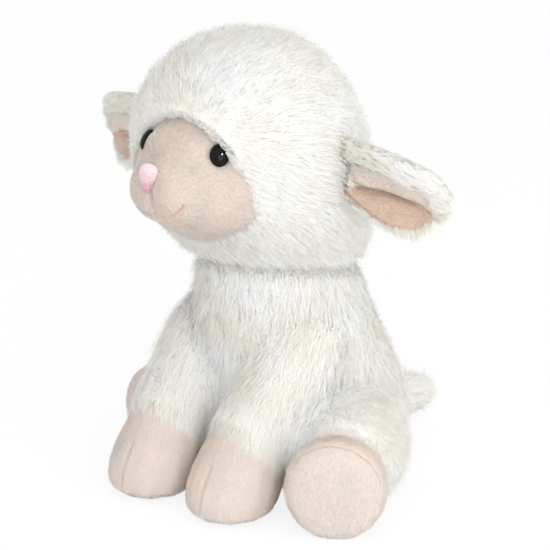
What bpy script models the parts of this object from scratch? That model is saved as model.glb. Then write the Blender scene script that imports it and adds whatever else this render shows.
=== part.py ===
"""A sitting plush lamb, built as it is sewn: fur and velour skins over their stuffing, snap-in eyes,
stitched nose and mouth, lined ears, and limbs, ears and tail that turn on the seams that hold them.

Units are metres, +Z is up, the lamb faces -Y and its left side is +X. The floor is at Z = 0, and the
neck's centre is over the origin.
"""

import math

import bmesh
import bpy
from mathutils import Matrix, Vector
from mathutils.bvhtree import BVHTree

# Fabrics and fits
CLEARANCE = 0.0003  # between pieces that touch
SOFT_GAP = 0.0005  # between soft forms, whose facets don't line up
FLAT_DEPTH = 0.0005  # how much of a limb the floor flattens
FUR = 0.006  # fur fabric, its backing and its standing pile
VELOUR = 0.0025  # short-nap fabric of the face and feet
EAR_PILE = 0.004  # fur fabric of the ears, its pile pressed by sewing
LIMB_COLUMNS = 8  # of a limb's cage, for the faces it needs
INNER_COLUMNS = 6  # of the cages that the skins hide

# Torso: a pear, widest at the seat
NECK_HEIGHT = 0.100
NECK_RADIUS = 0.0365
SEAT_HALF_WIDTH = 0.0525
SEAT_HALF_DEPTH = 0.0485
SEAT_SET_BACK = 0.011  # the seat's centre behind the neck's
SEAT_PRESS = 0.002  # how far sitting presses the seat's pile flat
PELLET_BAG_RADIUS = 0.034
PELLET_BAG_HEIGHT = 0.022
BAG_SEAT = 0.0008  # the fibre's underside above the bag's

# Head: a ball that narrows to the neck
HEAD_HEIGHT = 0.100  # from the neck seam to the crown
HEAD_HALF_WIDTH = 0.051
HEAD_HALF_DEPTH = 0.050
HEAD_FORWARD = 0.019  # the ball's centre in front of the neck's
NECK_TILT = 8  # degrees that the neck seam rises towards the front

# Face: a velour muzzle let into the fur
FACE_HALF_WIDTH = 0.0335
FACE_HALF_HEIGHT = 0.0275
FACE_DROP = 0.0025  # the face's centre below the ball's
MUZZLE_REACH = 0.062  # from the ball's centre to the muzzle's tip
EYE_RADIUS = 0.005
EYE_SPACING = 0.0405
EYE_RISE = 0.0122  # the eyes above the face's centre
EYE_SINK = 0.0008  # the fabric's dimple round an eye
EYE_DOME = 0.85  # the dome's height as a share of its radius
EYE_GRIP = 0.004  # from the eye's back to its washer
SHANK_RADIUS = 0.002
SHANK_LENGTH = 0.011
WASHER_RADIUS = 0.0062
WASHER_THICKNESS = 0.0016
NOSE_WIDTH = 0.0122
NOSE_HEIGHT = 0.0112
NOSE_RISE = 0.0032  # the nose's middle above the face's centre
NOSE_THICKNESS = 0.0013
MOUTH_WIDTH = 0.025
MOUTH_DROP = 0.0135  # the mouth's middle below the face's centre
MOUTH_CURL = 0.0035  # how much higher its corners are
THREAD_RADIUS = 0.0005
STITCH_GAP = 0.0004  # from the velour's facets to the stitches

# Ears: leaves cupped forward, a root fold in the head's side seam
EAR_LENGTH = 0.045  # from the fur to the tip
EAR_ROOT_WIDTH = 0.019  # along the cupped sheet
EAR_WIDTH = 0.029
EAR_WIDEST = 0.58  # share of its length
EAR_POSES = {"left": (20, 6), "right": (15, 12)}  # degrees below level, degrees back from sideways
EAR_RISE = 0.0015  # the root's middle above the ball's centre
EAR_BACK = 0.007  # the root behind the ball's centre
EAR_TUCK = 0.008  # how far the sheets start inside the fur
EAR_MARGIN = 0.0015  # fur round the lining's seam
EAR_ROOT_BEND = 1.35  # half the cup's angle at the root, in radians
EAR_TIP_BEND = 0.85
EAR_LIP = 0.004  # how far the upper edge curls over the cup
EAR_HINGE_RISE = 0.0125

# Front legs: sleeves from the shoulders down to round feet
SHOULDER_HALF_SPACING = 0.027
SHOULDER_HEIGHT = 0.071
SHOULDER_FORWARD = 0.009
ELBOW_HEIGHT = 0.050
ELBOW_FORWARD = 0.018
SLEEVE_RADIUS = 0.0205
FRONT_FOOT_HALF_SPACING = 0.0226
FRONT_FOOT_FORWARD = 0.058
FRONT_FOOT_RADIUS = 0.0205
FRONT_FOOT_HEIGHT = 0.027
SOLE_THICKNESS = 0.0025
ANKLE_SET_BACK = 0.011  # the ankle behind the foot's middle
HINGE_RISE_SHARE = 0.6
HINGE_OUT = 0.001

# Hind legs: thighs at the seat's sides and feet with their soles in front
THIGH_RADIUS = 0.0245
HIND_LEG_LENGTH = 0.058  # from the hip to the sole
HIND_FOOT_RADIUS = 0.021
HIND_FOOT_LENGTH = 0.021
HIND_SOLE_BULGE = 0.004  # the sole's swell in front of its seam
HIND_HINGE_BACK = 0.032  # from the hip, back along the leg
HIND_HINGE_IN = 0.008  # from there towards the torso
LEFT_HIP_OUT = 0.046  # each hip beside the middle and behind the neck, and the degrees its leg turns out
LEFT_HIP_BACK = -0.003
LEFT_HIP_TURN = 30
RIGHT_HIP_OUT = 0.039
RIGHT_HIP_BACK = 0.027
RIGHT_HIP_TURN = 11
LEG_TOUCH_SHARE = 0.8  # where along a front leg the hind leg beside it presses
LEG_GAP = 0.0015  # between a hind leg and the front leg beside it

# Tail
TAIL_LENGTH = 0.046
TAIL_RADIUS = 0.011
TAIL_HEIGHT = 0.0125
TAIL_DROOP = 2
TAIL_SIDE = 6  # degrees to the lamb's left

SIDES = {"left": 1, "right": -1}
HIPS = {
    "left": (LEFT_HIP_OUT, LEFT_HIP_BACK, LEFT_HIP_TURN),
    "right": (-RIGHT_HIP_OUT, RIGHT_HIP_BACK, RIGHT_HIP_TURN),
}


def clear_scene():
    for obj in list(bpy.data.objects):
        bpy.data.objects.remove(obj)


def new_collection(name):
    collection = bpy.data.collections.new(name)
    bpy.context.scene.collection.children.link(collection)
    return collection


def linear(value):
    """An sRGB channel from 0 to 255 as the linear value a shader takes."""
    share = value / 255
    return share / 12.92 if share <= 0.04045 else ((share + 0.055) / 1.055) ** 2.4


def new_material(name, colour, roughness, coat=0.0):
    material = bpy.data.materials.new(name)
    material.use_nodes = True
    shader = material.node_tree.nodes["Principled BSDF"]
    shader.inputs["Base Color"].default_value = [linear(value) for value in colour] + [1]
    shader.inputs["Roughness"].default_value = roughness
    shader.inputs["Coat Weight"].default_value = coat
    return material


def new_object(name, mesh, collection):
    obj = bpy.data.objects.new(name, mesh)
    collection.objects.link(obj)
    return obj


def cutter(name, mesh):
    """A helper that shapes other pieces and is no piece itself."""
    obj = new_object(name, mesh, CUTTERS)
    obj.hide_render = True
    obj.display_type = "WIRE"
    return obj


def ring(centre, half_width, half_depth, turn=None, narrowing=0.0):
    """One station of a soft form: an ellipse in the plane that turn gives, level if it is None.

    narrowing takes that share off the width at the ellipse's +Y end, and adds it at the other.
    """
    return (Vector(centre), half_width, half_depth, turn or Matrix.Identity(3), narrowing)


def cage_mesh(name, rings, columns, grow):
    """A closed cage through the rings, whose smoothed surface lies grow outside their ellipses."""
    swell = 4 / (3 + math.cos(2 * math.pi / columns))  # smoothing draws a round cage in by this
    mesh = bpy.data.meshes.new(name)
    shape = bmesh.new()
    before = None
    for index, (centre, half_width, half_depth, turn, narrowing) in enumerate(rings):
        first, last = index == 0, index == len(rings) - 1
        outward = (last - first) * grow
        size = Matrix.Diagonal(((half_width + grow) * swell, (half_depth + grow) * swell, 1, 1))
        place = Matrix.Translation(centre + turn @ Vector((0, 0, outward))) @ turn.to_4x4()
        made = bmesh.ops.create_circle(shape, cap_ends=first or last, segments=columns, radius=1)
        points = made["verts"]
        for point in points:
            point.co.x *= 1 - narrowing * point.co.y
        bmesh.ops.transform(shape, matrix=place @ size, verts=points)
        edges = [e for e in shape.edges if e.verts[0] in points and e.verts[1] in points]
        if before:
            bmesh.ops.bridge_loops(shape, edges=before + edges)
        before = edges
    bmesh.ops.recalc_face_normals(shape, faces=shape.faces)
    shape.to_mesh(mesh)
    shape.free()
    mesh.shade_smooth()
    return mesh


def soft(name, rings, grow=0.0, columns=12, piece=False):
    """A soft form through the rings, as a piece of the lamb or as a cutter.

    A form inside the skin, with a negative grow, needs fewer columns.
    """
    mesh = cage_mesh(name, rings, columns if grow >= 0 else INNER_COLUMNS, grow)
    obj = new_object(name, mesh, PARTS) if piece else cutter(name, mesh)
    modifier = obj.modifiers.new("Smooth", "SUBSURF")
    modifier.levels = 1
    modifier.render_levels = 1
    return obj


def boolean(obj, operation, others):
    for other in others:
        modifier = obj.modifiers.new(f"{operation} {other.name}", "BOOLEAN")
        modifier.operation = operation
        modifier.solver = "EXACT"
        modifier.object = other


def cut(obj, *others):
    boolean(obj, "DIFFERENCE", others)


def join(obj, *others):
    boolean(obj, "UNION", others)


def block(name, low, high):
    """A cutter that fills the box between two corners."""
    low, high = Vector(low), Vector(high)
    mesh = bpy.data.meshes.new(name)
    shape = bmesh.new()
    place = Matrix.Translation((low + high) / 2) @ Matrix.Diagonal((*(high - low), 1))
    bmesh.ops.create_cube(shape, size=1, matrix=place)
    shape.to_mesh(mesh)
    shape.free()
    return cutter(name, mesh)


def half_space(name, point, direction):
    """A cutter that fills all of the lamb on the side of the point that direction shows."""
    reach = NECK_HEIGHT + HEAD_HEIGHT
    obj = block(name, (-reach, -reach, 0), (reach, reach, reach))
    turn = Vector(direction).to_track_quat("Z", "Y").to_matrix().to_4x4()
    obj.matrix_world = Matrix.Translation(point) @ turn
    return obj


def surface_of(obj):
    """The object's finished surface, to measure on."""
    bpy.context.view_layer.update()
    return BVHTree.FromObject(obj.evaluated_get(bpy.context.evaluated_depsgraph_get()),
                              bpy.context.evaluated_depsgraph_get())


def pivot(name, location):
    """The empty on a joint's axis that carries its body's pieces."""
    empty = bpy.data.objects.new(name, None)
    empty.empty_display_size = 0.01
    empty.location = location
    PARTS.objects.link(empty)
    return empty


def finish(obj, material, carrier=None):
    """The material of a piece, and the empty that carries it while it stays where it is."""
    obj.data.materials.append(material)
    if carrier:
        place = obj.matrix_basis.copy()
        obj.parent = carrier
        obj.matrix_basis = Matrix.Translation(-carrier.location) @ place


def turned(axis, side=Vector((1, 0, 0))):
    """The turn whose Z runs along axis, with X as near to side as it can be."""
    z = Vector(axis).normalized()
    x = (side - side.dot(z) * z).normalized()
    return Matrix((x, z.cross(x), z)).transposed()


def turned_solid(name, profile):
    """A mesh turned about Z from a profile of (radius, height) points, top to bottom."""
    mesh = bpy.data.meshes.new(name)
    shape = bmesh.new()
    points = [shape.verts.new((radius, 0, height)) for radius, height in profile]
    closed = profile[0][0] > 0
    for here, there in zip(points, points[1:] + points[:1] * closed):
        shape.edges.new((here, there))
    shape.to_mesh(mesh)
    shape.free()
    return mesh


def turn_profile(obj, steps=16):
    modifier = obj.modifiers.new("Turn", "SCREW")
    modifier.axis = "Z"
    modifier.steps = steps
    modifier.render_steps = steps
    modifier.use_merge_vertices = True
    modifier.merge_threshold = 0.00001


# Torso

# Share of the neck's height, and share of the way from the neck's size to the seat's
TORSO_STATIONS = (
    (0.07, 0.9),
    (0.24, 1.04),
    (0.43, 0.92),
    (0.61, 0.52),
    (0.80, 0.12),
    (0.97, -0.05),
    (1.14, -0.05),
)
SEAT_FLAT_SHARE = 0.72  # the seat's flat underside, as a share of its width


def torso_form(name, grow=0.0, piece=False):
    base = (0, SEAT_SET_BACK, -SEAT_PRESS)
    rings = [ring(base, SEAT_HALF_WIDTH * SEAT_FLAT_SHARE, SEAT_HALF_DEPTH * SEAT_FLAT_SHARE)]
    for height, share in TORSO_STATIONS:
        half_width = NECK_RADIUS + (SEAT_HALF_WIDTH - NECK_RADIUS) * share
        half_depth = NECK_RADIUS + (SEAT_HALF_DEPTH - NECK_RADIUS) * share
        rings.append(ring((0, SEAT_SET_BACK * share, NECK_HEIGHT * height), half_width, half_depth))
    return soft(name, rings, grow, piece=piece)


BAG_BOTTOM = FUR - SEAT_PRESS + CLEARANCE
# Share of the bag's height, and of its radius
BAG_STATIONS = ((0, 0.7), (0.25, 1.0), (0.7, 0.92), (1, 0.55))


def pellet_bag_form(name, grow=0.0, piece=False):
    rings = []
    for height, share in BAG_STATIONS:
        radius = PELLET_BAG_RADIUS * share
        rings.append(ring((0, SEAT_SET_BACK, BAG_BOTTOM + PELLET_BAG_HEIGHT * height), radius, radius))
    return soft(name, rings, grow, columns=INNER_COLUMNS, piece=piece)


def build_torso():
    skin = torso_form("torso_fur", piece=True)
    cut(skin, TORSO_HOLLOW, FLOOR, ABOVE_NECK)
    finish(skin, FUR_CLOTH)

    bag = pellet_bag_form("pellet_bag", piece=True)
    finish(bag, COTTON)

    stuffing = torso_form("torso_stuffing", -FUR - SOFT_GAP, piece=True)
    below_fibre = half_space("below_fibre", (0, 0, BAG_BOTTOM + BAG_SEAT), (0, 0, -1))
    cut(stuffing, ABOVE_NECK, pellet_bag_form("pellet_bag_room", SOFT_GAP), below_fibre)
    finish(stuffing, FIBRE)


# Share of the tail's length from its root, and of its radius
TAIL_STATIONS = ((-0.3, 0.6), (0.05, 0.9), (0.5, 1.05), (0.85, 0.8), (1.02, 0.4))
TAIL_HINGE_SHARE = 0.8  # the seam's upper edge above the tail's middle, as a share of its radius


def build_tail():
    """A tuft of folded fur sewn to the torso's back, drooping to the lamb's left."""
    swing = Matrix.Rotation(math.radians(-TAIL_SIDE), 3, "Z")
    along = swing @ Matrix.Rotation(math.radians(-TAIL_DROOP), 3, "X") @ Vector((0, 1, 0))
    root = Vector((0, SEAT_SET_BACK + SEAT_HALF_DEPTH, TAIL_HEIGHT))
    rings = []
    for share, radius in TAIL_STATIONS:
        centre = root + along * TAIL_LENGTH * share
        rings.append(ring(centre, TAIL_RADIUS * radius, TAIL_RADIUS * radius, turned(along)))
    tail = limb_form("tail", rings, piece=True)
    cut(tail, TORSO_ROOM)
    carrier = pivot("tail_seam", (0, root.y, TAIL_HEIGHT + TAIL_RADIUS * TAIL_HINGE_SHARE))
    finish(tail, FUR_CLOTH, carrier)


# Head

BALL_HEIGHT_SHARE = 0.48  # the ball's centre between neck and crown
# Share of the head's height, share of the way from the neck's size to the ball's, and of its way forward
JAW_STATIONS = ((-0.12, 0.0, 0.0), (0.02, 0.12, 0.04), (0.14, 0.68, 0.33), (0.29, 0.98, 0.74))
# Share of the head's height, of the ball's size, and of its way forward
CROWN_STATIONS = ((0.48, 1.03, 0.92), (0.69, 0.97, 1.08), (0.88, 0.73, 1.12), (1.01, 0.34, 1.02))


def head_form(name, grow=0.0, piece=False):
    rings = []
    for height, share, forward in JAW_STATIONS:
        centre = (0, -HEAD_FORWARD * forward, NECK_HEIGHT + HEAD_HEIGHT * height)
        half_width = NECK_RADIUS + (HEAD_HALF_WIDTH - NECK_RADIUS) * share
        half_depth = NECK_RADIUS + (HEAD_HALF_DEPTH - NECK_RADIUS) * share
        rings.append(ring(centre, half_width, half_depth))
    for height, share, forward in CROWN_STATIONS:
        centre = (0, -HEAD_FORWARD * forward, NECK_HEIGHT + HEAD_HEIGHT * height)
        rings.append(ring(centre, HEAD_HALF_WIDTH * share, HEAD_HALF_DEPTH * share))
    return soft(name, rings, grow, piece=piece)


BALL_CENTRE = Vector((0, -HEAD_FORWARD, NECK_HEIGHT + HEAD_HEIGHT * BALL_HEIGHT_SHARE))
FACE_CENTRE = BALL_CENTRE - Vector((0, 0, FACE_DROP))
# Share of the muzzle's reach, of the face's width, of its height, rise as a share of its height, narrowing
FACE_STATIONS = (
    (0.22, 1.02, 1.02, 0.0, 0.16),
    (0.50, 1.10, 1.10, 0.0, 0.22),
    (0.66, 0.80, 0.92, 0.0, 0.24),
    (0.82, 0.56, 0.68, -0.08, 0.2),
    (0.95, 0.42, 0.46, -0.08, 0.1),
    (1.01, 0.22, 0.24, -0.04, 0.0),
)
FACE_OPENING_REACHES = (0.40, 0.55, 1.2, 1.5)  # of the fur's opening round the face, as shares of its reach
FACE_OPENING_NARROWING = 0.24


def face_form(name, grow=0.0, piece=False):
    forward = Vector((0, -1, 0))
    rings = []
    for reach, width, height, rise, narrowing in FACE_STATIONS:
        centre = FACE_CENTRE + forward * MUZZLE_REACH * reach + Vector((0, 0, FACE_HALF_HEIGHT * rise))
        size = (FACE_HALF_WIDTH * width, FACE_HALF_HEIGHT * height)
        rings.append(ring(centre, *size, turned(forward), narrowing))
    return soft(name, rings, grow, piece=piece)


def face_opening():
    """What the fur leaves open in front of the face, so that its pile stands round the velour."""
    forward = Vector((0, -1, 0))
    rings = []
    for reach in FACE_OPENING_REACHES:
        centre = FACE_CENTRE + forward * MUZZLE_REACH * reach
        size = (FACE_HALF_WIDTH, FACE_HALF_HEIGHT)
        rings.append(ring(centre, *size, turned(forward), FACE_OPENING_NARROWING))
    return soft("face_opening", rings)


def on_face(x, height):
    """The point of the face seen from in front at x and height, and the fabric's outward direction."""
    start = Vector((x, FACE_CENTRE.y - 2 * MUZZLE_REACH, height))
    place, direction, _, _ = FACE_SURFACE.ray_cast(start, Vector((0, 1, 0)))
    return place, direction


def build_eye(side_name, head, skin, face, stuffing):
    side = SIDES[side_name]
    place, outward = on_face(side * EYE_SPACING / 2, FACE_CENTRE.z + EYE_RISE)
    stand = Matrix.Translation(place - outward * EYE_SINK) @ turned(outward).to_4x4()
    arc = [math.radians(90 - 15 * step) for step in range(7)]
    dome = [(EYE_RADIUS * math.cos(a), EYE_RADIUS * EYE_DOME * math.sin(a)) for a in arc]
    shank = [(SHANK_RADIUS, 0), (SHANK_RADIUS, -SHANK_LENGTH), (0, -SHANK_LENGTH)]
    dome[0] = (0, EYE_RADIUS * EYE_DOME)
    eye = new_object(f"eye_{side_name}", turned_solid("eye", dome + shank), PARTS)
    washer_front = -EYE_GRIP
    washer_back = washer_front - WASHER_THICKNESS
    collar_back = washer_back - WASHER_THICKNESS
    bore = SHANK_RADIUS + CLEARANCE
    collar = (bore + WASHER_RADIUS) / 2
    ring_profile = [(bore, washer_front), (WASHER_RADIUS, washer_front), (WASHER_RADIUS, washer_back),
                    (collar, washer_back), (collar, collar_back), (bore, collar_back)]
    washer = new_object(f"eye_washer_{side_name}", turned_solid("washer", ring_profile), PARTS)
    seat_radius = EYE_RADIUS + CLEARANCE
    seat_profile = [(0, EYE_RADIUS), (seat_radius, EYE_RADIUS), (seat_radius, -CLEARANCE), (bore, -CLEARANCE),
                    (bore, -EYE_GRIP), (0, -EYE_GRIP)]
    seat = cutter(f"eye_seat_{side_name}", turned_solid("eye_seat", seat_profile))
    room_radius = WASHER_RADIUS + CLEARANCE
    room_back = -SHANK_LENGTH - CLEARANCE
    room_profile = [(0, 0), (room_radius, 0), (room_radius, collar_back - CLEARANCE),
                    (bore, collar_back - CLEARANCE), (bore, room_back), (0, room_back)]
    room = cutter(f"eye_room_{side_name}", turned_solid("eye_room", room_profile))
    for obj in (eye, washer, seat, room):
        obj.matrix_world = stand
        turn_profile(obj)
    cut(skin, seat)
    cut(face, seat)
    cut(stuffing, room)
    finish(eye, EYE_PLASTIC, head)
    finish(washer, WASHER_PLASTIC, head)


# Shares of the nose's size
NOSE_FOOT = 0.16  # its foot's width
NOSE_SHOULDER = 0.75  # where its upper corners start to round
NOSE_ROUNDING = 0.3  # how much narrower its top edge is
NOSE_CROWN = 0.08  # how much its top and foot swell in the middle


def build_nose(head):
    """A pad of satin stitches over the muzzle's tip, an upside-down triangle with round corners."""
    rows, columns = 6, 8
    mesh = bpy.data.meshes.new("nose")
    shape = bmesh.new()
    bmesh.ops.create_grid(shape, x_segments=columns, y_segments=rows, size=1)
    for point in shape.verts:
        rise = (point.co.y + 1) / 2
        corner = 1 - NOSE_ROUNDING * max(0, (rise - NOSE_SHOULDER) / (1 - NOSE_SHOULDER)) ** 2
        x = point.co.x * NOSE_WIDTH / 2 * (NOSE_FOOT + (1 - NOSE_FOOT) * rise) * corner
        crown = 1 - NOSE_CROWN * (1 - point.co.x ** 2)
        place, outward = on_face(x, FACE_CENTRE.z + NOSE_RISE + point.co.y * NOSE_HEIGHT / 2 * crown)
        point.co = place + outward * STITCH_GAP
    bmesh.ops.recalc_face_normals(shape, faces=shape.faces)
    shape.to_mesh(mesh)
    shape.free()
    nose = new_object("nose", mesh, PARTS)
    modifier = nose.modifiers.new("Stitch height", "SOLIDIFY")
    modifier.thickness = NOSE_THICKNESS
    modifier.offset = 1
    finish(nose, NOSE_THREAD, head)


def build_mouth(head):
    """One line of thread along the muzzle's smile."""
    count = 17
    curve = bpy.data.curves.new("mouth_stitch", "CURVE")
    curve.dimensions = "3D"
    curve.bevel_depth = THREAD_RADIUS
    curve.bevel_resolution = 1
    curve.use_fill_caps = True
    spline = curve.splines.new("POLY")
    spline.points.add(count - 1)
    for index, point in enumerate(spline.points):
        share = 2 * index / (count - 1) - 1
        height = FACE_CENTRE.z - MOUTH_DROP + MOUTH_CURL * share ** 2
        place, outward = on_face(share * MOUTH_WIDTH / 2, height)
        point.co = (*(place + outward * (THREAD_RADIUS + STITCH_GAP) - head.location), 1)
    mouth = new_object("mouth_stitch", curve, PARTS)
    curve.materials.append(MOUTH_THREAD)
    mouth.parent = head


EAR_TIP_BLUNT = 0.12  # the tip's width as a share of the ear's
EAR_TIP_FULLNESS = 2.2  # how round the leaf's outer end is, 2 for an ellipse


def ear_sheet(name, side_name, layer, thickness, margin):
    """One layer of an ear: a leaf cupped forward, lying layer behind the ear's seam surface.

    The sheet starts inside the head. margin is how far it reaches past the seam that joins the layers.
    """
    rows, columns = 8, 8
    side = SIDES[side_name]
    down, back = EAR_POSES[side_name]
    droop = Matrix.Rotation(math.radians(down), 3, "Y")
    sweep = Matrix.Rotation(math.radians(back), 3, "Z")
    mesh = bpy.data.meshes.new(name)
    shape = bmesh.new()
    bmesh.ops.create_grid(shape, x_segments=columns, y_segments=rows, size=1)
    for point in shape.verts:
        share = (point.co.x + 1) / 2
        along = -EAR_TUCK + (EAR_LENGTH + margin + EAR_TUCK) * share
        place = max(0, along / EAR_LENGTH)
        widening = math.sin(min(1, place / EAR_WIDEST) * math.pi / 2)
        seam_half = (EAR_ROOT_WIDTH + (EAR_WIDTH - EAR_ROOT_WIDTH) * widening) / 2
        half = seam_half + margin
        if place > EAR_WIDEST:
            fall = (place - EAR_WIDEST) / (1 + margin / EAR_LENGTH - EAR_WIDEST)
            half *= max(EAR_TIP_BLUNT, math.sqrt(max(0, 1 - fall ** EAR_TIP_FULLNESS)))
        cupping = EAR_ROOT_BEND + (EAR_TIP_BEND - EAR_ROOT_BEND) * min(1, place)
        seam_radius = seam_half / cupping
        angle = (point.co.y * half + EAR_LIP * min(1, place)) / seam_radius
        radius = seam_radius + layer
        flat = Vector((along, radius * math.cos(angle) - seam_radius, radius * math.sin(angle)))
        point.co = sweep @ droop @ flat
        point.co.x *= side
    shape.normal_update()
    bmesh.ops.recalc_face_normals(shape, faces=shape.faces)
    middle = max(shape.faces, key=lambda face: face.calc_area())
    if (middle.normal.y > 0) != (layer > 0):
        bmesh.ops.reverse_faces(shape, faces=shape.faces)
    shape.to_mesh(mesh)
    shape.free()
    mesh.shade_smooth()
    sheet = new_object(name, mesh, PARTS)
    root = BALL_CENTRE + Vector((0, EAR_BACK, EAR_RISE))
    place, _, _, _ = HEAD_SURFACE.ray_cast(root, Vector((side, 0, 0)))
    sheet.location = place
    modifier = sheet.modifiers.new("Cloth", "SOLIDIFY")
    modifier.thickness = thickness
    modifier.offset = 1
    modifier.use_even_offset = True
    cut(sheet, HEAD_ROOM)
    return sheet, place


def build_ear(side_name):
    fur, place = ear_sheet(f"ear_fur_{side_name}", side_name, SOFT_GAP / 2, EAR_PILE, EAR_MARGIN)
    lining, _ = ear_sheet(f"ear_lining_{side_name}", side_name, -SOFT_GAP / 2, VELOUR, 0)
    carrier = pivot(f"ear_seam_{side_name}", place + Vector((0, 0, EAR_HINGE_RISE)))
    finish(fur, FUR_CLOTH, carrier)
    finish(lining, LINING_CLOTH, carrier)


def build_head():
    head = pivot("neck_seam", (0, 0, NECK_HEIGHT))
    skin = head_form("head_fur", piece=True)
    cut(skin, HEAD_HOLLOW, BELOW_HEAD, face_form("face_room", SOFT_GAP), face_opening())
    finish(skin, FUR_CLOTH, head)

    face = face_form("face", piece=True)
    cut(face, HEAD_HOLLOW, face_form("face_hollow", -VELOUR))
    stuffing = head_form("head_stuffing", -FUR - SOFT_GAP, piece=True)
    join(stuffing, face_form("face_stuffing", -VELOUR - SOFT_GAP))
    cut(stuffing, BELOW_HEAD)
    for side_name in SIDES:
        build_eye(side_name, head, skin, face, stuffing)
        build_ear(side_name)
    finish(face, VELOUR_CLOTH, head)
    finish(stuffing, FIBRE, head)
    build_nose(head)
    build_mouth(head)


# Limbs

def bend(start, middle, end, share):
    """The point at a share of the way along a limb that bends past middle, and the way it heads."""
    place = start.lerp(middle, share).lerp(middle.lerp(end, share), share)
    heading = (middle - start).lerp(end - middle, share)
    return place, heading.normalized()


def limb_rings(start, middle, end, stations, radius):
    """Rings along a bent limb, at shares of its length and of its radius."""
    rings = []
    for share, size in stations:
        place, heading = bend(start, middle, end, share)
        rings.append(ring(place, radius * size, radius * size, turned(heading)))
    return rings


def front_leg_path(side):
    """The shoulder, the elbow and the ankle of a front leg."""
    shoulder = Vector((side * SHOULDER_HALF_SPACING, -SHOULDER_FORWARD, SHOULDER_HEIGHT))
    elbow_x = side * (SHOULDER_HALF_SPACING + FRONT_FOOT_HALF_SPACING) / 2
    elbow = Vector((elbow_x, -ELBOW_FORWARD, ELBOW_HEIGHT))
    ankle_y = ANKLE_SET_BACK - FRONT_FOOT_FORWARD
    ankle = Vector((side * FRONT_FOOT_HALF_SPACING, ankle_y, FRONT_FOOT_HEIGHT))
    return shoulder, elbow, ankle


def limb_form(name, rings, grow=0.0, piece=False):
    """A limb's soft form, a plainer cage than the larger ones."""
    return soft(name, rings, grow, columns=LIMB_COLUMNS, piece=piece)


def sleeve_form(name, side, grow=0.0, piece=False):
    rings = limb_rings(*front_leg_path(side), SLEEVE_STATIONS, SLEEVE_RADIUS)
    return limb_form(name, rings, grow, piece)


SLEEVE_STATIONS = ((-0.25, 0.4), (-0.08, 0.78), (0.2, 1.0), (0.6, 1.05), (0.95, 0.95), (1.2, 0.88))
# Share of the foot's height at the ankle, and of its radius
FRONT_FOOT_STATIONS = ((0.3, 1.02), (0.75, 1.02), (1.15, 0.82), (1.5, 0.5))
SOLE_SHARE = 0.88  # a sole's flat, as a share of its foot's radius


def build_front_leg(side_name):
    side = SIDES[side_name]
    foot_centre = Vector((side * FRONT_FOOT_HALF_SPACING, -FRONT_FOOT_FORWARD, 0))
    ankle, along = bend(*front_leg_path(side), 1)

    def foot_form(name, grow=0.0, piece=False):
        low = foot_centre - Vector((0, 0, FLAT_DEPTH))
        rings = [ring(low, FRONT_FOOT_RADIUS * SOLE_SHARE, FRONT_FOOT_RADIUS * SOLE_SHARE)]
        for height, size in FRONT_FOOT_STATIONS:
            centre = foot_centre.lerp(ankle, height ** 2) if height < 1 else ankle
            centre = Vector((centre.x, centre.y, FRONT_FOOT_HEIGHT * height))
            rings.append(ring(centre, FRONT_FOOT_RADIUS * size, FRONT_FOOT_RADIUS * size))
        return limb_form(name, rings, grow, piece)

    carrier = pivot(f"shoulder_seam_{side_name}", front_hinge(side))
    past_ankle = half_space(f"front_past_ankle_{side_name}", ankle, along)
    before_ankle = half_space(f"front_before_ankle_{side_name}", ankle + along * CLEARANCE, -along)
    above_sole = half_space(f"front_above_sole_{side_name}", (0, 0, SOLE_THICKNESS), (0, 0, 1))
    below_sole = half_space(f"front_below_sole_{side_name}", (0, 0, SOLE_THICKNESS + CLEARANCE), (0, 0, -1))
    sleeve_hollow = sleeve_form(f"front_leg_hollow_{side_name}", side, -FUR)
    foot_hollow = foot_form(f"front_foot_hollow_{side_name}", -VELOUR)

    sleeve = sleeve_form(f"front_leg_fur_{side_name}", side, piece=True)
    cut(sleeve, sleeve_hollow, past_ankle, TORSO_ROOM)
    foot = foot_form(f"front_foot_{side_name}", piece=True)
    cut(foot, foot_hollow, sleeve_hollow, before_ankle, below_sole)
    sole = foot_form(f"front_sole_{side_name}", piece=True)
    cut(sole, FLOOR, above_sole)
    stuffing = sleeve_form(f"front_leg_stuffing_{side_name}", side, -FUR - SOFT_GAP, piece=True)
    foot_stuffing = foot_form(f"front_foot_stuffing_{side_name}", -VELOUR - SOFT_GAP)
    cut(foot_stuffing, before_ankle)
    join(stuffing, foot_stuffing)
    cut(stuffing, below_sole, TORSO_ROOM)
    finish(sleeve, FUR_CLOTH, carrier)
    finish(foot, VELOUR_CLOTH, carrier)
    finish(sole, SOLE_CLOTH, carrier)
    finish(stuffing, FIBRE, carrier)


def leg_parting(name, side, hind_middle):
    """A cutter for what a hind leg has beyond the flat where the front leg beside it presses."""
    place, heading = bend(*front_leg_path(side), LEG_TOUCH_SHARE)
    apart = hind_middle - place
    apart = (apart - apart.dot(heading) * heading).normalized()
    return half_space(name, place + apart * (SLEEVE_RADIUS + LEG_GAP), -apart)


def front_hinge(side):
    """The top of the shoulder seam, where the sleeve lies on the torso."""
    rise = SLEEVE_RADIUS * HINGE_RISE_SHARE
    return (side * SHOULDER_HALF_SPACING, -SHOULDER_FORWARD - HINGE_OUT, SHOULDER_HEIGHT + rise)


# Distance from the hip towards the sole as a share of the leg, and share of the radius
THIGH_STATIONS = ((-0.6, 0.3), (-0.38, 0.8), (0.0, 1.1), (0.4, 0.98), (0.8, 0.8))
HIND_FOOT_STATIONS = ((0.4, 0.7), (0.6, 0.94), (0.8, 1.07), (0.97, 1.07), (1.03, 0.72))


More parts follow.
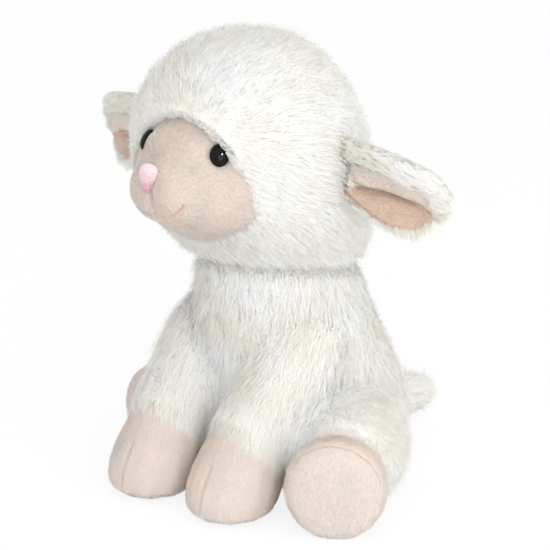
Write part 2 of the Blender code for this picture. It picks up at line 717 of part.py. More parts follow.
def build_hind_leg(side_name):
    side = SIDES[side_name]
    x, y, outward = HIPS[side_name]
    heading = Vector((side * math.sin(math.radians(outward)), -math.cos(math.radians(outward)), 0))
    turn = turned(heading, side=Vector((0, 0, 1)).cross(heading))

    def hind_rings(stations, radius):
        rings = []
        for share, size in stations:
            height = radius - FLAT_DEPTH
            centre = Vector((x, y, height)) + heading * HIND_LEG_LENGTH * share
            rings.append(ring(centre, radius * size, radius * size, turn))
        return rings

    def thigh_form(name, grow=0.0, piece=False):
        return limb_form(name, hind_rings(THIGH_STATIONS, THIGH_RADIUS), grow, piece)

    def foot_form(name, grow=0.0, piece=False):
        rings = hind_rings(HIND_FOOT_STATIONS, HIND_FOOT_RADIUS)
        return limb_form(name, rings, grow, piece)

    hip = Vector((x, y, 0))
    carrier = pivot(f"hip_seam_{side_name}", hind_hinge(side_name))
    ankle = hip + heading * (HIND_LEG_LENGTH - HIND_FOOT_LENGTH)
    sole_plane = hip + heading * (HIND_LEG_LENGTH - HIND_SOLE_BULGE)
    past_ankle = half_space(f"hind_past_ankle_{side_name}", ankle, heading)
    before_ankle = half_space(f"hind_before_ankle_{side_name}", ankle + heading * CLEARANCE, -heading)
    before_sole = half_space(f"hind_before_sole_{side_name}", sole_plane, -heading)
    past_foot = half_space(f"hind_past_foot_{side_name}", sole_plane - heading * CLEARANCE, heading)
    ankle_axis = Vector((ankle.x, ankle.y, HIND_FOOT_RADIUS))
    parting = leg_parting(f"leg_parting_{side_name}", side, ankle_axis)
    thigh_hollow = thigh_form(f"hind_leg_hollow_{side_name}", -FUR)
    foot_hollow = foot_form(f"hind_foot_hollow_{side_name}", -VELOUR)

    thigh = thigh_form(f"hind_leg_fur_{side_name}", piece=True)
    cut(thigh, thigh_hollow, past_ankle, FLOOR, TORSO_ROOM, parting)
    foot = foot_form(f"hind_foot_{side_name}", piece=True)
    cut(foot, foot_hollow, thigh_hollow, before_ankle, past_foot, FLOOR, TORSO_ROOM, parting)
    sole = foot_form(f"hind_sole_{side_name}", piece=True)
    cut(sole, before_sole, FLOOR, TORSO_ROOM, parting)
    stuffing = thigh_form(f"hind_leg_stuffing_{side_name}", -FUR - SOFT_GAP, piece=True)
    foot_stuffing = foot_form(f"hind_foot_stuffing_{side_name}", -VELOUR - SOFT_GAP)
    cut(foot_stuffing, before_ankle)
    join(stuffing, foot_stuffing)
    cut(stuffing, parting, past_foot, TORSO_ROOM)
    finish(thigh, FUR_CLOTH, carrier)
    finish(foot, VELOUR_CLOTH, carrier)
    finish(sole, SOLE_CLOTH, carrier)
    finish(stuffing, FIBRE, carrier)


def hind_hinge(side_name):
    """The back edge of the hip seam, behind all that the thigh has against the torso."""
    x, y, outward = HIPS[side_name]
    lean = Matrix.Rotation(math.radians(outward * SIDES[side_name]), 3, "Z")
    return Vector((x, y, 0)) + lean @ Vector((-SIDES[side_name] * HIND_HINGE_IN, HIND_HINGE_BACK, 0))


clear_scene()
PARTS = new_collection("plush_lamb")
CUTTERS = new_collection("cutters")
FUR_CLOTH = new_material("white fur cloth", (240, 241, 236), 0.9)
VELOUR_CLOTH = new_material("peach velour", (233, 217, 205), 0.85)
SOLE_CLOTH = new_material("pale velour", (236, 224, 214), 0.85)
LINING_CLOTH = new_material("pink ear velour", (232, 208, 194), 0.85)
NOSE_THREAD = new_material("pink satin stitch", (235, 190, 200), 0.45)
MOUTH_THREAD = new_material("rose thread", (214, 130, 145), 0.5)
EYE_PLASTIC = new_material("black gloss plastic", (12, 11, 12), 0.08, coat=1.0)
WASHER_PLASTIC = new_material("white nylon", (225, 225, 220), 0.4)
FIBRE = new_material("polyester fibre", (245, 245, 245), 1.0)
COTTON = new_material("cotton bag", (225, 218, 200), 0.9)

FLOOR = half_space("floor", (0, 0, 0), (0, 0, -1))
NECK_AXIS = Matrix.Rotation(math.radians(-NECK_TILT), 3, "X") @ Vector((0, 0, 1))
NECK_CENTRE = Vector((0, 0, NECK_HEIGHT))
ABOVE_NECK = half_space("above_neck", NECK_CENTRE, NECK_AXIS)
BELOW_HEAD = half_space("below_head", NECK_CENTRE + NECK_AXIS * CLEARANCE, -NECK_AXIS)
TORSO_HOLLOW = torso_form("torso_hollow", -FUR)
TORSO_ROOM = torso_form("torso_room", SOFT_GAP)
HEAD_HOLLOW = head_form("head_hollow", -FUR)
HEAD_ROOM = head_form("head_room", SOFT_GAP)
HEAD_SURFACE = surface_of(head_form("head_guide"))
FACE_SURFACE = surface_of(face_form("face_guide"))

build_torso()
build_tail()
build_head()
for name in SIDES:
    build_front_leg(name)
    build_hind_leg(name)
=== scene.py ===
# %% [markdown]
# # A sitting plush lamb
# The real toy is sewn from three cloths: a long-pile fur, a short-nap velour and a little satin thread, over
# fibre stuffing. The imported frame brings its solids, bodies and joints. Here each solid gets the surface
# that the eye sees: a backing cloth with a pile of strands standing on it.

# %% Load the frame
import math

import bpy
import numpy as np
from mathutils import Matrix, Vector, kdtree
from mathutils.bvhtree import BVHTree


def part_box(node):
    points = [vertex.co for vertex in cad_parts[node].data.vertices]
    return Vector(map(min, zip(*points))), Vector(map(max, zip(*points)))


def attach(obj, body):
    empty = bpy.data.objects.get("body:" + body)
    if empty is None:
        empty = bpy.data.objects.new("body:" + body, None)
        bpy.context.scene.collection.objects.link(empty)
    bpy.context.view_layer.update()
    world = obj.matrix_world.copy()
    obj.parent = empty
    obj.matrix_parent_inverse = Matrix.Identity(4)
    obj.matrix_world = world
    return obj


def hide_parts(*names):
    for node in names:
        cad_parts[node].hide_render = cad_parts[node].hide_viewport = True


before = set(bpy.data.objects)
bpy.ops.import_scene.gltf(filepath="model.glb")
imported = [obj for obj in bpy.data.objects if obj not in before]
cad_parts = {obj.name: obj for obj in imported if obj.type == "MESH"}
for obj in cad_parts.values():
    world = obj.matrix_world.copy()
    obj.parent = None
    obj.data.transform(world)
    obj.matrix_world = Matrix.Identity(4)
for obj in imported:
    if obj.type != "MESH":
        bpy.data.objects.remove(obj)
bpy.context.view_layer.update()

# %% [markdown]
# ## The measures of the cloths
# A pile is described as a mill would: how high it stands, how far a strand lies over, how dense it is and
# how it is combed. All are millimetres turned to metres.

# %% Measures
MM = 0.001
SIDES = {"left": 1, "right": -1}
FUR_DEPTH = 4.6 * MM  # the strands stand this far inside the solid's surface
FUR_RISE = 4.8 * MM  # their tips stand this far above their feet
FUR_LAY = 8.5 * MM  # and reach this far along it
FUR_WIDTH = 0.28 * MM  # a blade stands for a wisp of fibres, which alone are too fine to show
FUR_DENSITY = 3.9 / MM ** 2
UNDERCOAT = 2.2 * MM  # the foot of the pile is so thick that the eye sees no deeper
EDGE_DEPTH = 0.6 * MM  # beside the velour, the fur's backing comes up to its surface
EDGE_LAY = 3.6 * MM  # and its pile is sheared shorter
ANKLE_LAY = 6.5 * MM  # but hangs over the edge of the feet
EDGE_REACH = 11 * MM
OVERLAP = 2.2 * MM  # so far the fur grows over the seam
BARE_BELOW = 4 * MM  # the lamb sits on its seat, so no strands stand under it
NAP_RISE = 0.6 * MM
NAP_LAY = 1.4 * MM
NAP_WIDTH = 0.17 * MM
NAP_DENSITY = 6.0 / MM ** 2
LEADERS = 0.08  # one strand in twelve leads a lock
FLYAWAY_FROM = 0.93  # the rest of the strands up to 1 are longer and stand up
FEWEST = 50  # a pile of fewer strands than this is left out
FACE_FRONT = Vector((0, -75, 150)) * MM  # the head's pile is combed away from here
print("a fur strand is about", round(math.hypot(FUR_RISE, FUR_LAY) / MM, 1), "mm long")

# %% [markdown]
# ## Colours and nodes
# Colours are written as the sRGB hex values that one would pick from a picture, and Blender's shaders want
# them linear, so one function turns them. Another adds a shader node with its settings and its links.

# %% Colour and node helpers


def linear(code):
    """The linear red, green, blue and alpha of an sRGB hex colour."""
    values = [int(code[i:i + 2], 16) / 255 for i in (0, 2, 4)]
    return [v / 12.92 if v <= 0.04045 else ((v + 0.055) / 1.055) ** 2.4 for v in values] + [1.0]


def node(owner, kind, settings=None, feeds=None):
    """Add a shader node to a material or the world, or set up one that is there.

    settings are its properties, input values or a ramp's stops, and feeds are the sockets that feed its inputs.
    """
    made = owner.node_tree.nodes.new(kind) if isinstance(kind, str) else kind
    for key, value in (settings or {}).items():
        if key == "stops":
            for stop, (place, code) in zip(made.color_ramp.elements, value):
                stop.position, stop.color = place, linear(code)
        elif isinstance(key, str) and hasattr(made, key) and key not in made.inputs:
            setattr(made, key, value)
        else:
            made.inputs[key].default_value = value
    for key, source in (feeds or {}).items():
        owner.node_tree.links.new(source, made.inputs[key])
    return made


def new_material(name):
    """A material, its shader, and the place of each point on the object, for its patterns."""
    material = bpy.data.materials.new(name)
    material.use_nodes = True
    place = node(material, "ShaderNodeTexCoord").outputs["Object"]
    return material, material.node_tree.nodes["Principled BSDF"], place


def two_tones(material, place, patch, *stops, **settings):
    """A colour that drifts between the stops' tones, in patches of about that size."""
    cloud = node(material, "ShaderNodeTexNoise", {"Scale": 1 / patch, **settings}, {"Vector": place})
    return node(material, "ShaderNodeValToRGB", {"stops": stops}, {"Fac": cloud.outputs["Fac"]}).outputs["Color"]


def cloth(name, low, high, roughness, patch, depth, roots=None, through=0.0):
    """A cloth of two tones.

    roots is painted shade at the foot of its strands, darker where the pile shades itself, and through the share of
    light that passes through them.
    """
    material, shader, place = new_material(name)
    colour = two_tones(material, place, patch, (0.36, low), (0.64, high), Detail=3.0, Roughness=0.6)
    # painted shade: each strand is darker at its foot, deep in the pile, and has the cloth's own tone from its middle
    # up
    if roots:
        along = node(material, "ShaderNodeAttribute", {"attribute_name": "along"})
        shade = node(material, "ShaderNodeValToRGB", {"stops": ((0.0, roots), (0.55, "FFFFFF"))},
                     {"Fac": along.outputs["Fac"]})
        colour = node(material, "ShaderNodeMix", {"data_type": "RGBA", "blend_type": "MULTIPLY", 0: 1.0},
                      {6: colour, 7: shade.outputs["Color"]}).outputs[2]
    fine = node(material, "ShaderNodeTexNoise", {"Scale": 1 / (0.8 * MM), "Detail": 2.0}, {"Vector": place})
    bump = node(material, "ShaderNodeBump", {"Strength": 0.4, "Distance": depth}, {"Height": fine.outputs["Fac"]})
    node(material, shader, {"Roughness": roughness, "Specular IOR Level": 0.25},
         {"Base Color": colour, "Normal": bump.outputs["Normal"]})
    if through:
        thin = node(material, "ShaderNodeBsdfTranslucent", None, {"Color": colour})
        mixed = node(material, "ShaderNodeMixShader", {"Fac": through}, {1: shader.outputs[0], 2: thin.outputs[0]})
        node(material, material.node_tree.nodes["Material Output"], None, {"Surface": mixed.outputs[0]})
    return material


def paint(obj, material):
    """Give an object one material."""
    obj.data.materials.clear()
    obj.data.materials.append(material)


def settle(obj, body, replaced=None):
    """Let a piece ride a body, in place of the solid that it replaces."""
    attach(obj, body)
    if replaced:
        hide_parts(replaced)


print("helpers ready")

# %% [markdown]
# ## The cloths' finishes
# Acrylic fur is matt. Light passes through its strands and scatters among them, so it looks almost evenly
# lit, with cream and cool tints that drift over some centimetres. Polyester velour is short and shows
# greyish where its nap faces away and peach where it faces the eye. The knitted backing is as white as the
# fur, so that it doesn't show between the strands. Carded fibre, calico and nylon stay inside.

# %% Make the cloths
# a pile cloth's last colour is painted shade at the feet of its strands; the number after it is the light that passes
# through them
FUR = cloth("acrylic fur, combed", "FBFAF5", "FEFEFE", 0.85, 28 * MM, 0.05 * MM, "FCFBF7", 0.54)
BACKING = cloth("knitted fur backing", "F8F7F2", "FCFBF8", 0.9, 20 * MM, 0.3 * MM)
VELOUR = cloth("polyester velour, face", "EEE8E2", "F8EFE7", 0.8, 15 * MM, 0.05 * MM, "F3ECE6", 0.4)
# the feet's velour, which the ears' rolled lips also wear as painted highlight
FOOT_VELOUR_AND_LIP_HIGHLIGHT = cloth("polyester velour, foot", "F6F1EE", "FDF4EC", 0.8, 22 * MM, 0.05 * MM, "FAF5F1", 0.4)
SOLE = cloth("polyester velour, sole", "F6F1ED", "FBF4EF", 0.8, 16 * MM, 0.05 * MM, "F8F4F0", 0.4)
LINING = cloth("polyester velour, ear lining", "E9D4C4", "F1DECE", 0.8, 12 * MM, 0.05 * MM, "F3EAE2", 0.3)
FIBRE = cloth("polyester fibre, carded", "EEEEEA", "FAFAF8", 1.0, 6 * MM, 0.8 * MM)
COTTON = cloth("cotton calico, woven", "DDD5C2", "E9E2D2", 0.9, 4 * MM, 0.3 * MM)
NYLON = cloth("nylon, moulded", "DCDCD6", "E6E6E0", 0.4, 5 * MM, 0.05 * MM)
print(len(bpy.data.materials), "materials")

# %% [markdown]
# ## Stuffed forms
# A stuffed form is one soft volume. The solids of a skin and its stuffing are copied together, a voxel
# remesh melts them into one closed surface, and smoothing takes the facets away.

# %% Melt solids into one form


def select_only(obj):
    bpy.ops.object.select_all(action="DESELECT")
    obj.select_set(True)
    bpy.context.view_layer.objects.active = obj


def apply_modifier(obj, kind, **settings):
    """Add a modifier with its settings and apply it."""
    select_only(obj)
    modifier = obj.modifiers.new(kind, kind)
    for key, value in settings.items():
        setattr(modifier, key, value)
    bpy.ops.object.modifier_apply(modifier=modifier.name)


def copies(name, nodes):
    """One object that joins copies of the named solids, with their loose triangles merged."""
    made = []
    for each in nodes:
        copy = bpy.data.objects.new(f"{name}_{each}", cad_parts[each].data.copy())
        bpy.context.scene.collection.objects.link(copy)
        made.append(copy)
    select_only(made[0])
    for copy in made:
        copy.select_set(True)
    if len(made) > 1:
        bpy.ops.object.join()
    obj = bpy.context.view_layer.objects.active
    obj.name = name
    bpy.ops.object.mode_set(mode="EDIT")
    bpy.ops.mesh.select_all(action="SELECT")
    bpy.ops.mesh.remove_doubles(threshold=0.00001)
    bpy.ops.object.mode_set(mode="OBJECT")
    return obj


def soften(name, nodes, voxel, rounds):
    """The named solids as one soft closed surface."""
    obj = copies(name, nodes)
    apply_modifier(obj, "REMESH", mode="VOXEL", voxel_size=voxel)
    apply_modifier(obj, "SMOOTH", factor=0.5, iterations=rounds)
    select_only(obj)
    bpy.ops.object.shade_smooth()
    return obj


print("melting ready")

# %% Measure a mesh


def points_of(mesh, what="co"):
    """A mesh's vertex places or normals as rows."""
    values = np.empty(len(mesh.vertices) * 3)
    mesh.vertices.foreach_get(what, values)
    return values.reshape(-1, 3)


def move_points(mesh, places):
    mesh.vertices.foreach_set("co", places.reshape(-1))
    mesh.update()


def nearest(points, targets):
    """The index of the target nearest each point, and its distance."""
    tree = kdtree.KDTree(len(targets))
    for index, target in enumerate(targets):
        tree.insert(target, index)
    tree.balance()
    found = [tree.find(point) for point in points]
    return np.array([f[1] for f in found]), np.array([f[2] for f in found])


def ease(share):
    share = np.clip(share, 0, 1)
    return share * share * (3 - 2 * share)


def tree_of(*nodes):
    """A tree to cast rays on, of the named solids together, and the number of the solid of each face."""
    points, faces, labels = [], [], []
    for label, each in enumerate(nodes):
        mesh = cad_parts[each].data
        labels += [label] * len(mesh.polygons)
        faces += [[len(points) + i for i in p.vertices] for p in mesh.polygons]
        points += [v.co.copy() for v in mesh.vertices]
    return BVHTree.FromPolygons(points, faces), labels


def on_front(tree, x, z):
    """The solids' point that is seen from in front, and the way it faces."""
    place, way, _, _ = tree.ray_cast(Vector((x, -0.3, z)), Vector((0, 1, 0)))
    return place, way


print("measuring ready")

# %% Press furrows


def groove(obj, path, depth, width):
    """Press a soft furrow into a surface along a path, or raise a ridge with a negative depth."""
    places = points_of(obj.data)
    away = nearest(places, path)[1]
    press = depth * np.exp(-(away / width) ** 2)
    move_points(obj.data, places - points_of(obj.data, "normal") * press[:, None])


def line(*stops, step=0.3 * MM):
    """Points along straight runs between stops, close enough to press a furrow."""
    path = []
    for here, there in zip(stops, stops[1:]):
        count = max(2, int((Vector(there) - Vector(here)).length / step))
        path += [Vector(here).lerp(Vector(there), i / count) for i in range(count)]
    return path + [Vector(stops[-1])]


print("furrows ready")

# %% [markdown]
# ## The whole outside
# On the real toy the pile hides the seams: the fur of a leg runs into the fur of the body. So the roots of
# all strands lie on one surface, melted from all the solids at once, and each point of it is labelled with
# the solid that it came from. The strands of a leg then move with the leg.

# %% Melt the whole outside
LEGS = [f"{kind}_leg_{side}" for kind in ("front", "hind") for side in SIDES]


def leg_nodes(leg):
    """The fur, foot, sole and stuffing of a leg's body."""
    kind, _, side = leg.partition("_leg_")
    return f"{kind}_leg_fur_{side}", f"{kind}_foot_{side}", f"{kind}_sole_{side}", f"{kind}_leg_stuffing_{side}"


outside_nodes = ["torso_fur", "torso_stuffing", "pellet_bag", "tail", "head_fur", "head_stuffing", "face"]
for leg in LEGS:
    outside_nodes += leg_nodes(leg)
whole = soften("whole_outside", outside_nodes, 2 * MM, 9)
BODY_OF = {"torso_fur": "torso", "tail": "tail", "head_fur": "head", "face": "head"}
BODY_OF.update({each: leg for leg in LEGS for each in leg_nodes(leg)[:3]})
labelled, body_of_label = list(BODY_OF), np.array(list(BODY_OF.values()))
solids_tree, face_labels = tree_of(*labelled)
whole_places = points_of(whole.data)
whole_labels = np.array([face_labels[solids_tree.find_nearest(p)[2]] for p in whole_places])
is_fur = np.array(["fur" in each or each == "tail" for each in labelled])
velour_points = whole_places[~is_fur[whole_labels]]
fur_points = whole_places[is_fur[whole_labels]]
fur_labels = whole_labels[is_fur[whole_labels]]
print(len(whole_places), "points,", len(velour_points), "of them velour")

# %% Soften its seams


def away_from_velour(points):
    """0 beside the velour, rising to 1 where the fur has its whole depth."""
    return ease(nearest(points, velour_points)[1] / EDGE_REACH)


def seam_points(joins):
    """The whole outside's points where two solids meet, for the pairs that joins accepts."""
    edges = np.empty(len(whole.data.edges) * 2, dtype=np.int32)
    whole.data.edges.foreach_get("vertices", edges)
    edges = edges.reshape(-1, 2)
    return points_of(whole.data)[edges[joins(*whole_labels[edges].T), 0]]


def is_neck(here, there):
    head, torso = labelled.index("head_fur"), labelled.index("torso_fur")
    return ((here == head) & (there == torso)) | ((here == torso) & (there == head))


def is_limb_seam(here, there):
    return (here != there) & is_fur[here] & is_fur[there] & ~is_neck(here, there)


def smooth_where(name, weights, rounds):
    """Smooth the whole outside by a weight for each point."""
    group = whole.vertex_groups.new(name=name)
    for index, weight in enumerate(weights):
        if weight > 0:
            group.add([index], float(weight), "REPLACE")
    apply_modifier(whole, "SMOOTH", factor=0.5, iterations=rounds, vertex_group=name)


MELT_REACH, MELT_ROUNDS = 8 * MM, 12
MELT_FROM = 28 * MM  # near the floor, the limbs keep the creases between them
HEM_REACH, HEM_ROUNDS = 8 * MM, 26
seams = seam_points(is_limb_seam)
melt = ease(1.3 - nearest(whole_places, seams)[1] / MELT_REACH) * ease(whole_places[:, 2] / MELT_FROM - 1.1)
smooth_where("seams", melt, MELT_ROUNDS)
hems = seam_points(lambda here, there: is_fur[here] != is_fur[there])
smooth_where("hems", ease(1.3 - nearest(points_of(whole.data), hems)[1] / HEM_REACH), HEM_ROUNDS)
NECK_CREASE, NECK_CREASE_REACH = 2.2 * MM, 7 * MM
whole_places = points_of(whole.data)
neck = seam_points(is_neck)
creased = ease(1 - nearest(whole_places, neck)[1] / NECK_CREASE_REACH)
move_points(whole.data, whole_places - points_of(whole.data, "normal") * (NECK_CREASE * creased)[:, None])
whole_normals = points_of(whole.data, "normal")
print(len(seams), "points on the limbs' seams,", len(neck), "on the neck's")

# %% Sink it to the roots of the pile


def sink(obj, deep=FUR_DEPTH):
    """Lower a surface to the backing's depth, less deep beside the velour."""
    mesh = obj.data
    places = points_of(mesh)
    share = away_from_velour(places)
    move_points(mesh, places - points_of(mesh, "normal") * (EDGE_DEPTH + (deep - EDGE_DEPTH) * share)[:, None])
    apply_modifier(obj, "SMOOTH", factor=0.5, iterations=4)
    return share


whole_share = sink(whole)
whole_tree = BVHTree.FromObject(whole, bpy.context.evaluated_depsgraph_get())


def under_pile(place):
    """How deep a place lies under the roots of the pile, the nearest root, and the way that it faces."""
    root, normal, _, _ = whole_tree.find_nearest(Vector(place))
    return (root - Vector(place)).dot(normal), root, normal


def hide_under_pile(obj, margin):
    """Draw a backing in wherever it would stand out through the roots of the pile."""
    places = points_of(obj.data)
    for index, place in enumerate(places):
        depth, root, normal = under_pile(place)
        if depth < margin:
            places[index] = root - normal * margin
    move_points(obj.data, places)


def hide_under_velour(obj, depth, reach):
    """Draw a backing in wherever velour lies over it."""
    places = points_of(obj.data)
    under = ease(2 - nearest(places, velour_points)[1] / reach) * ease(nearest(places, fur_points)[1] / reach - 0.6)
    move_points(obj.data, places - points_of(obj.data, "normal") * (depth * under)[:, None])


print("the roots lie", round(FUR_DEPTH / MM, 1), "mm deep, and", round(EDGE_DEPTH / MM, 1), "beside the velour")

# %% [markdown]
# ## The pile
# Blender's hair isn't a mesh, and the export wants meshes, so each strand is a flat blade of three
# triangles that starts on the backing, rises and then lies along the comb. Numpy builds tens of thousands
# of them at once. Strands near each other lean to a common tip, which gives the locks that plush shows.
# Each blade takes its normals from the cloth below, so that the light runs over the pile as over one soft
# surface, and each has its own cell in a UV map.

# %% Scatter feet and wander


def unit(vectors):
    return vectors / np.maximum(np.linalg.norm(vectors, axis=-1, keepdims=True), 1e-12)


def scatter(mesh, density, chance):
    """Random points on a mesh, so many to the square metre, as the corners' indices and shares."""
    mesh.calc_loop_triangles()
    places = points_of(mesh)
    index = np.empty(len(mesh.loop_triangles) * 3, dtype=np.int32)
    mesh.loop_triangles.foreach_get("vertices", index)
    index = index.reshape(-1, 3)
    a, b, c = (places[index[:, i]] for i in range(3))
    area = np.linalg.norm(np.cross(b - a, c - a), axis=1) / 2
    face = chance.choice(len(area), size=int(area.sum() * density), p=area / area.sum())
    u, v = chance.random(len(face)), chance.random(len(face))
    fold = u + v > 1
    u[fold], v[fold] = 1 - u[fold], 1 - v[fold]
    return index[face], np.stack([1 - u - v, u, v], axis=1)


def at(values, corners, shares):
    """Values of a mesh's vertices, mixed at scattered points."""
    picked = values[corners]
    return (picked * (shares[:, :, None] if picked.ndim == 3 else shares)).sum(axis=1)


def feet_on(mesh, density, chance):
    """Random places for strands on a mesh, and the way that it faces there."""
    corners, shares = scatter(mesh, density, chance)
    return at(points_of(mesh), corners, shares), unit(at(points_of(mesh, "normal"), corners, shares))


def drift(points, size, seed):
    """A smooth wandering vector at each point, from a few waves of about that size."""
    waves = np.random.default_rng(seed)
    total = np.zeros_like(points)
    for _ in range(5):
        way = waves.normal(size=(3, 3)) * (math.pi / size)
        total += np.sin(points @ way + waves.random(3) * 6.28)
    return total / 5


print("scattering ready")

# %% Build strands


def lock_tips(roots, tips, share, chance, pull):
    """Draw the tips of neighbouring strands together, as locks. share is how many strands lead one."""
    leaders = chance.choice(len(roots), size=max(4, int(len(roots) * share)), replace=False)
    lead = leaders[nearest(roots, roots[leaders])[0]]
    offset = roots - roots[lead]
    strength = pull * (0.3 + 0.7 * chance.random((len(roots), 1)))
    return tips - (tips - (tips[lead] + offset * 0.2)) * strength


def strand_map(mesh, count):
    """A UV map that gives each strand its own cell of a square."""
    side = math.ceil(math.sqrt(count))
    corner = np.stack([np.arange(count) % side, np.arange(count) // side], axis=1)[:, None, :] / side
    shape = np.array([[0.15, 0.1], [0.85, 0.1], [0.85, 0.5], [0.15, 0.5], [0.15, 0.5], [0.85, 0.5], [0.5, 0.95]])
    layer = mesh.uv_layers.new(name="OFBake")
    layer.data.foreach_set("uv", (corner + shape / side).reshape(-1))


def strands(name, roots, normals, tips, rise, width, chance, material):
    """Blades from roots to tips that rise first and then lie over."""
    count = len(roots)
    middles = roots + normals * rise[:, None] * 0.6 + (tips - roots) * 0.27
    across = unit(np.cross(tips - roots, normals)) * width / 2
    corners = np.stack([roots - across, roots + across, middles + across * 0.9, middles - across * 0.9, tips], axis=1)
    corners[:, :, 2] = np.maximum(corners[:, :, 2], 0.1 * MM)  # the floor presses them flat
    mesh = bpy.data.meshes.new(name)
    mesh.vertices.add(count * 5)
    mesh.vertices.foreach_set("co", corners.reshape(-1))
    first = np.arange(count)[:, None] * 5
    mesh.loops.add(count * 7)
    mesh.loops.foreach_set("vertex_index", (first + [0, 1, 2, 3, 3, 2, 4]).reshape(-1))
    mesh.polygons.add(count * 2)
    mesh.polygons.foreach_set("loop_start", (np.arange(count)[:, None] * 7 + [0, 4]).reshape(-1))
    mesh.update(calc_edges=True)
    # how far up its strand each corner stands, which the cloths read to paint shade at the feet of the pile
    along = mesh.attributes.new("along", "FLOAT", "POINT")
    along.data.foreach_set("value", np.tile([0, 0, 0.6, 0.6, 1.0], count))
    strand_map(mesh, count)
    lean = unit(normals - 0.08 * unit(tips - roots) + 0.03 * chance.normal(size=(count, 3)))
    mesh.normals_split_custom_set_from_vertices(np.repeat(lean, 5, axis=0))
    obj = bpy.data.objects.new(name, mesh)
    bpy.context.scene.collection.objects.link(obj)
    paint(obj, material)
    print(name, count, "strands")
    return obj


print("strands ready")

# %% Lay a nap


def laid_over(roots, normals, way, rise, lay):
    """The tips of strands that rise from a cloth and reach along it, the way that they are combed."""
    along = unit(way - (way * normals).sum(axis=1, keepdims=True) * normals)
    return roots + normals * rise[:, None] + along * lay[:, None]


def nap(name, skin, body, comb, seed, material, facing, seams=(), density=NAP_DENSITY):
    """Short velour pile on the side of a skin that a test finds facing out, with its seams left bare."""
    chance = np.random.default_rng(seed)
    roots, normals = feet_on(skin.data, density, chance)
    kept = facing(roots, normals) & ((roots[:, 2] > 1 * MM) | (normals[:, 2] > 0))
    roots, normals = roots[kept], normals[kept]
    way = comb(roots, normals) + 0.6 * drift(roots, 7 * MM, seed) + 0.25 * chance.normal(size=roots.shape)
    size = 0.75 + 0.5 * chance.random(len(roots))
    if len(seams):
        size *= ease(nearest(roots, seams)[1] / (1.1 * MM) - 0.25) * 0.85 + 0.15
    rise = NAP_RISE * size ** 0.5
    tips = lock_tips(roots, laid_over(roots, normals, way, rise, NAP_LAY * size), LEADERS, chance, 0.6)
    settle(strands(name, roots, normals, tips, rise, NAP_WIDTH, chance, material), body)


print("nap ready")

# %% [markdown]
# ## The camera and the light
# The picture was taken from the lamb's left front, a little above, with a long lens. A pale floor and a
# white surrounding light give the bright, almost shadowless look of a catalogue picture.

# %% Camera


def way_from(azimuth, elevation):
    """The direction that many degrees to the lamb's left of its face and above it."""
    a, e = math.radians(azimuth), math.radians(elevation)
    return Vector((math.sin(a) * math.cos(e), -math.cos(a) * math.cos(e), math.sin(e)))


CAMERA_AZIMUTH, CAMERA_ELEVATION = 40.55, 16.4
CAMERA_DISTANCE = 1.2
CAMERA_AIM = Vector((0, 0, 0.1))
METRES_PER_PIXEL = 0.000435
PICTURE = 550
AIM_PIXEL = (278.0, 249.6)  # where the aim shows in the picture
away = way_from(CAMERA_AZIMUTH, CAMERA_ELEVATION)
bpy.ops.object.camera_add(location=CAMERA_AIM + away * CAMERA_DISTANCE)
camera = bpy.context.object
camera.rotation_euler = away.to_track_quat("Z", "Y").to_euler()
camera.data.sensor_width = 36
camera.data.lens = 36 * CAMERA_DISTANCE / (PICTURE * METRES_PER_PIXEL)
camera.data.shift_x = (PICTURE / 2 - AIM_PIXEL[0]) / PICTURE
camera.data.shift_y = (AIM_PIXEL[1] - PICTURE / 2) / PICTURE
camera.data.clip_end = 20
bpy.context.scene.camera = camera
print("lens", round(camera.data.lens, 1), "mm")

# %% Light


def lamp_at(kind, name, azimuth, elevation, distance, watts, aim=CAMERA_AIM):
    """A lamp that looks at a point of the lamb."""
    way = way_from(azimuth, elevation)
    bpy.ops.object.light_add(type=kind, location=aim + way * distance)
    lamp = bpy.context.object
    lamp.name = name
    lamp.rotation_euler = way.to_track_quat("Z", "Y").to_euler()
    lamp.data.energy = watts
    return lamp


def softbox(name, azimuth, elevation, distance, size, watts):
    """A square lamp that looks at the lamb's middle."""
    lamp = lamp_at("AREA", name, azimuth, elevation, distance, watts)
    lamp.data.size = size
    return lamp


softbox("side_softbox", 86, 28, 1.2, 0.9, 3.5)
softbox("top_softbox", 30, 60, 1.1, 0.9, 0.6)
softbox("front_softbox", 46, 20, 1.1, 0.7, 3.6)
low_lamp = lamp_at("SPOT", "low_snoot", 56, 14, 1.0, 3.9, Vector((14, -30, 50)) * MM)
low_lamp.data.spot_size = math.radians(16)  # narrow, so that it keeps the legs as light as the head
low_lamp.data.spot_blend = 1.0
low_lamp.data.shadow_soft_size = 0.1
WORLD_LIGHT = 0.9  # what lights the lamb; where the world itself is seen, its strength is 1
world = bpy.data.worlds.new("studio")
bpy.context.scene.world = world
world.use_nodes = True
seen = node(world, "ShaderNodeLightPath").outputs
white = seen["Is Camera Ray"]
for ray in ("Is Transmission Ray", "Is Glossy Ray"):
    white = node(world, "ShaderNodeMath", {"operation": "MAXIMUM"}, {0: white, 1: seen[ray]}).outputs[0]
strength = node(world, "ShaderNodeMath", {"operation": "MULTIPLY_ADD", 1: 1 - WORLD_LIGHT, 2: WORLD_LIGHT}, {0: white})
node(world, world.node_tree.nodes["Background"], {"Color": (1, 1, 1, 1)}, {"Strength": strength.outputs[0]})
bpy.context.scene.view_settings.view_transform = "Standard"

# %% [markdown]
# The floor is matt white paper. What the camera sees of it is lifted most of the way to pure white, which
# leaves a faint shadow under the lamb.

